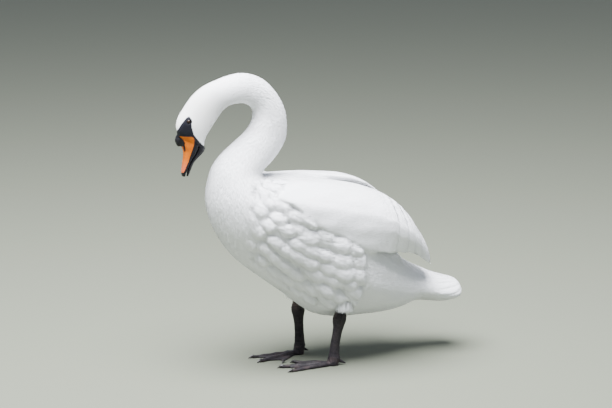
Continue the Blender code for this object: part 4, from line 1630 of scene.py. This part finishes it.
def buildClaws(side):
    # curved, tapering, grooved below, each over the end of its toe
    rings, around, back = clawValues["rings"], clawValues["around"], clawValues["back"]
    points, faces = [], []
    for origin, heading, length, radius in toeLines(side):
        across = np.array([-heading[1], heading[0], 0])
        base = len(points)
        size = radius * 0.58 + 0.5 * mm
        for k in range(rings + 1):
            share = k / rings
            reach = length - back + share * clawValues["length"]
            girth = size * (1 - clawValues["taper"] * share**1.5)
            height = size * 0.80 * (1 - share) ** 1.2 + 1.1 * mm
            height = height + clawValues["arch"] * math.sin(math.pi * share)
            for j in range(around):
                angle = 2 * math.pi * j / around
                low = clawValues["hollowBelow"] if math.sin(angle) < 0 else 1.0
                aside = clawValues["narrow"] * girth * math.cos(angle)
                spot = origin + heading * reach + across * aside
                spot = spot + np.array([0, 0, height + low * girth * math.sin(angle)])
                spot[2] = max(spot[2], 0.0003)
                points.append(spot)
        for k in range(rings):
            for j in range(around):
                a, b = base + k * around + j, base + k * around + (j + 1) % around
                faces += [(a, b, b + around), (a, b + around, a + around)]
        points.append(origin + heading * (length - back) + np.array([0, 0, size * 0.7]))
        first = len(points) - 1
        tipHeight = points[base + rings * around][2]
        tipReach = length - 2.6 * mm + clawValues["length"]
        points.append(origin + heading * tipReach + np.array([0, 0, tipHeight]))
        for j in range(around):
            after = (j + 1) % around
            faces.append((first, base + after, base + j))
            faces.append((first + 1, base + rings * around + j, base + rings * around + after))
    mesh = meshFrom("claws", np.array(points), np.array(faces))
    edited(mesh, lambda bm: bmesh.ops.recalc_face_normals(bm, faces=bm.faces))
    mesh.shade_smooth()
    placed("claws" + side.title(), mesh, clawMaterial())


# Camera, floor and light.

viewValues = {
    "azimuth": 66.0,
    "elevation": 11.0,
    "distance": 7.0,
    "lens": 168.0,
    "target": (0.0, -0.0475, 0.395),
}


def buildView():
    camera = added("camera", bpy.data.cameras.new("camera"))
    bpy.context.scene.camera = camera
    azimuth, elevation = math.radians(viewValues["azimuth"]), math.radians(viewValues["elevation"])
    flat = math.cos(elevation)
    back = Vector((math.sin(azimuth) * flat, -math.cos(azimuth) * flat, math.sin(elevation)))
    camera.location = Vector(viewValues["target"]) + back * viewValues["distance"]
    camera.rotation_mode = "QUATERNION"
    camera.rotation_quaternion = (-back).to_track_quat("-Z", "Y")
    camera.data.sensor_width = 36
    camera.data.lens = viewValues["lens"]
    camera.data.clip_end = 200


studioValues = {
    "floorSize": 40.0,
    "floorColour": (0.125, 0.135, 0.10),
    "worldColour": (0.78, 0.86, 1.0),
    "worldStrength": 0.6,
    "topPower": 1300.0,
    "topColour": (0.95, 0.965, 1.0),
    "topSize": 3.6,
    "topPlace": (0.6, -0.8, 3.8),
    "sidePower": 4.0,
    "sidePlace": (4.0, -5.0, 3.4),
    "sideColour": (1, 1, 1),
    "sideSize": 3.0,
}


def areaLight(name, place, aim, size, power, colour):
    light = added(name, bpy.data.lights.new(name, "AREA"))
    light.data.shape = "DISK"
    light.data.size = size
    light.data.energy = power
    light.data.color = colour
    light.location = place
    light.rotation_mode = "QUATERNION"
    light.rotation_quaternion = (Vector(aim) - Vector(place)).to_track_quat("-Z", "Y")


def buildStudio():
    grid = {"x_segments": 8, "y_segments": 8, "size": studioValues["floorSize"] / 2}
    mesh = edited(bpy.data.meshes.new("floor"), lambda bm: bmesh.ops.create_grid(bm, **grid))
    floor = added("floor", mesh)
    material, tree, shader = newMaterial("paleFloor")
    pale = studioValues["floorColour"]
    colour = blendColours(tree, noiseValue(tree, 1.5), pale, tuple(c * 0.985 for c in pale))
    tree.links.new(colour, shader.inputs["Base Color"])
    shader.inputs["Roughness"].default_value = 0.9
    mesh.materials.append(material)
    floor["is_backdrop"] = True
    world = bpy.data.worlds.new("softRoom")
    bpy.context.scene.world = world
    world.use_nodes = True
    background = world.node_tree.nodes["Background"]
    background.inputs["Color"].default_value = (*studioValues["worldColour"], 1)
    background.inputs["Strength"].default_value = studioValues["worldStrength"]
    middle = (0, 0, 0.35)
    parts = ("Place", "Size", "Power", "Colour")
    for name in ("top", "side"):
        place, size, power, colour = (studioValues[name + part] for part in parts)
        areaLight(name + "Light", place, middle, size, power, colour)


buildView()
buildStudio()
print("camera, floor and light set")

buildUpperBill()
buildLowerBill()
buildEyes()
for side in mirrors:
    buildLeg(side)
    buildClaws(side)
print("bill, eyes, legs and claws built")

surface = buildSkin(featherLie())
roomy = openFaces(surface)
feathered = roomy & (surface["bareSide"][surface["triangles"]].min(1) > 0.0)
centres = surface["points"][surface["triangles"]].mean(1)

headValues = {
    "cell": 7 * mm, "thickness": 0.12 * mm, "rough": 0.1, "ruffle": 0.0, "roll": 2.0, "soft": 0.97,
    "camber": 0.10,
}
napeValues = {
    "cell": 8 * mm, "thickness": 0.2 * mm, "roll": 3.0, "ruffle": 0.45, "soft": 0.82, "camber": 0.12,
}
downValues = {
    "cell": 15 * mm, "thickness": 0.10 * mm, "rough": 0.14, "ruffle": 0.40, "roll": 2.5, "soft": 0.74,
    "camber": 0.10, "overhang": 9 * mm, "barbs": 20.0,
}
neckValues = {**downValues, "cell": 9 * mm, "ruffle": 0.45, "soft": 0.80, "overhang": 6 * mm}
silkValues = {
    **downValues, "cell": 22 * mm, "rough": 0.04, "ruffle": 0.05, "roll": 1.2, "soft": 0.80, "camber": 0.04,
    "overhang": 0.5 * mm, "pace": 5 * mm, "bendLimit": 0.3, "least": 0.5,
}
far = 9.0
coatPieces = (  # name, solids under it, where it starts and ends along the body, seed, shape, values
    ("headPlumage", ["head"], -far, far, 11, "wisp", headValues),
    ("neckPlumageUpper", ["neck_top", "neck_arch"], -far, far, 12, "narrow", napeValues),
    ("neckPlumageLower", ["neck_middle", "neck_base"], -far, far, 13, "wisp", neckValues),
    ("breastPlumage", ["breast"], -far, far, 14, "wisp", downValues),
    ("bodyPlumageFront", ["trunk"], -far, -0.07, 15, "wisp", downValues),
    ("bodyPlumageMiddle", ["trunk"], -0.07, 0.05, 18, "wisp", downValues),
    ("bodyPlumageRear", ["trunk"], 0.05, far, 19, "wisp", downValues),
    ("rumpPlumage", ["rump"], -far, far, 16, "wisp", downValues),
    ("tailPlumage", ["tail"], -far, far, 26, "wisp", silkValues),
    ("wingPlumageLeft", ["wing_left", "flight_feathers_left"], -far, far, 17, "wisp", silkValues),
    ("wingPlumageRight", ["wing_right", "flight_feathers_right"], -far, far, 27, "wisp", silkValues),
)
for name, solids, start, end, seed, shape, values in coatPieces:
    region = feathered & onNodes(surface, solids) & (centres[:, 1] >= start) & (centres[:, 1] < end)
    growCoat(name, surface, region, shape, seed, values)

# The fluffy cuffs where the legs leave the body, in millimetres from the middle of each thigh; the
# heights are over the floor.
cuffValues = {
    "count": 950,
    "radius": (6.0, 17.0),
    "height": (0.160, 0.188),
    "length": (18.0, 34.0),
    "width": 2.3,
    "bend": (0.5, 3.5),
    "spread": (-0.35, 0.10),  # sideways share of each plume's heading, inwards and outwards
    "stray": 0.10,
    "shortest": 8.0,
}
cuffFinish = {"thickness": 0.2 * mm, "camber": 0.2, "roll": 12.0, "soft": 0.9, "barbs": 20.0}
for side in mirrors:
    low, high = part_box("thigh_" + side)
    middle = np.array([(low.x + high.x) / 2, (low.y + high.y) / 2, 0])
    draw = np.random.default_rng(91)
    count = cuffValues["count"]
    turns = draw.uniform(0, 2 * math.pi, count)
    reach = (cuffValues["radius"][0] + cuffValues["radius"][1] * np.sqrt(draw.random(count))) * mm
    outward = np.stack([np.sin(turns), -np.cos(turns), np.zeros(count)], 1)
    roots = middle + outward * reach[:, None]
    roots[:, 2] = draw.uniform(*cuffValues["height"], count) - 0.4 * (reach - 12 * mm)
    spread = outward * draw.uniform(*cuffValues["spread"], count)[:, None]
    headings = unit(spread + (0, 0, -1) + draw.normal(0, cuffValues["stray"], (count, 3)))
    lengths = draw.uniform(*cuffValues["length"], count) * mm
    tips = roots[:, 2] + headings[:, 2] * lengths
    lowest = low.z - 6 * mm + 0.5 * np.maximum(reach - 8 * mm, 0)
    lengths = np.where(tips < lowest, lengths - (lowest - tips), lengths)
    keep = lengths > cuffValues["shortest"] * mm
    widths = np.full(keep.sum(), cuffValues["width"] * mm)
    bend = draw.uniform(*cuffValues["bend"], keep.sum()) * mm
    setPlumes(
        "legCuff" + side.title(), surface, roots[keep], headings[keep], outward[keep], lengths[keep],
        widths, bend, 92, cuffFinish,
    )

low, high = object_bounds()
print("done")
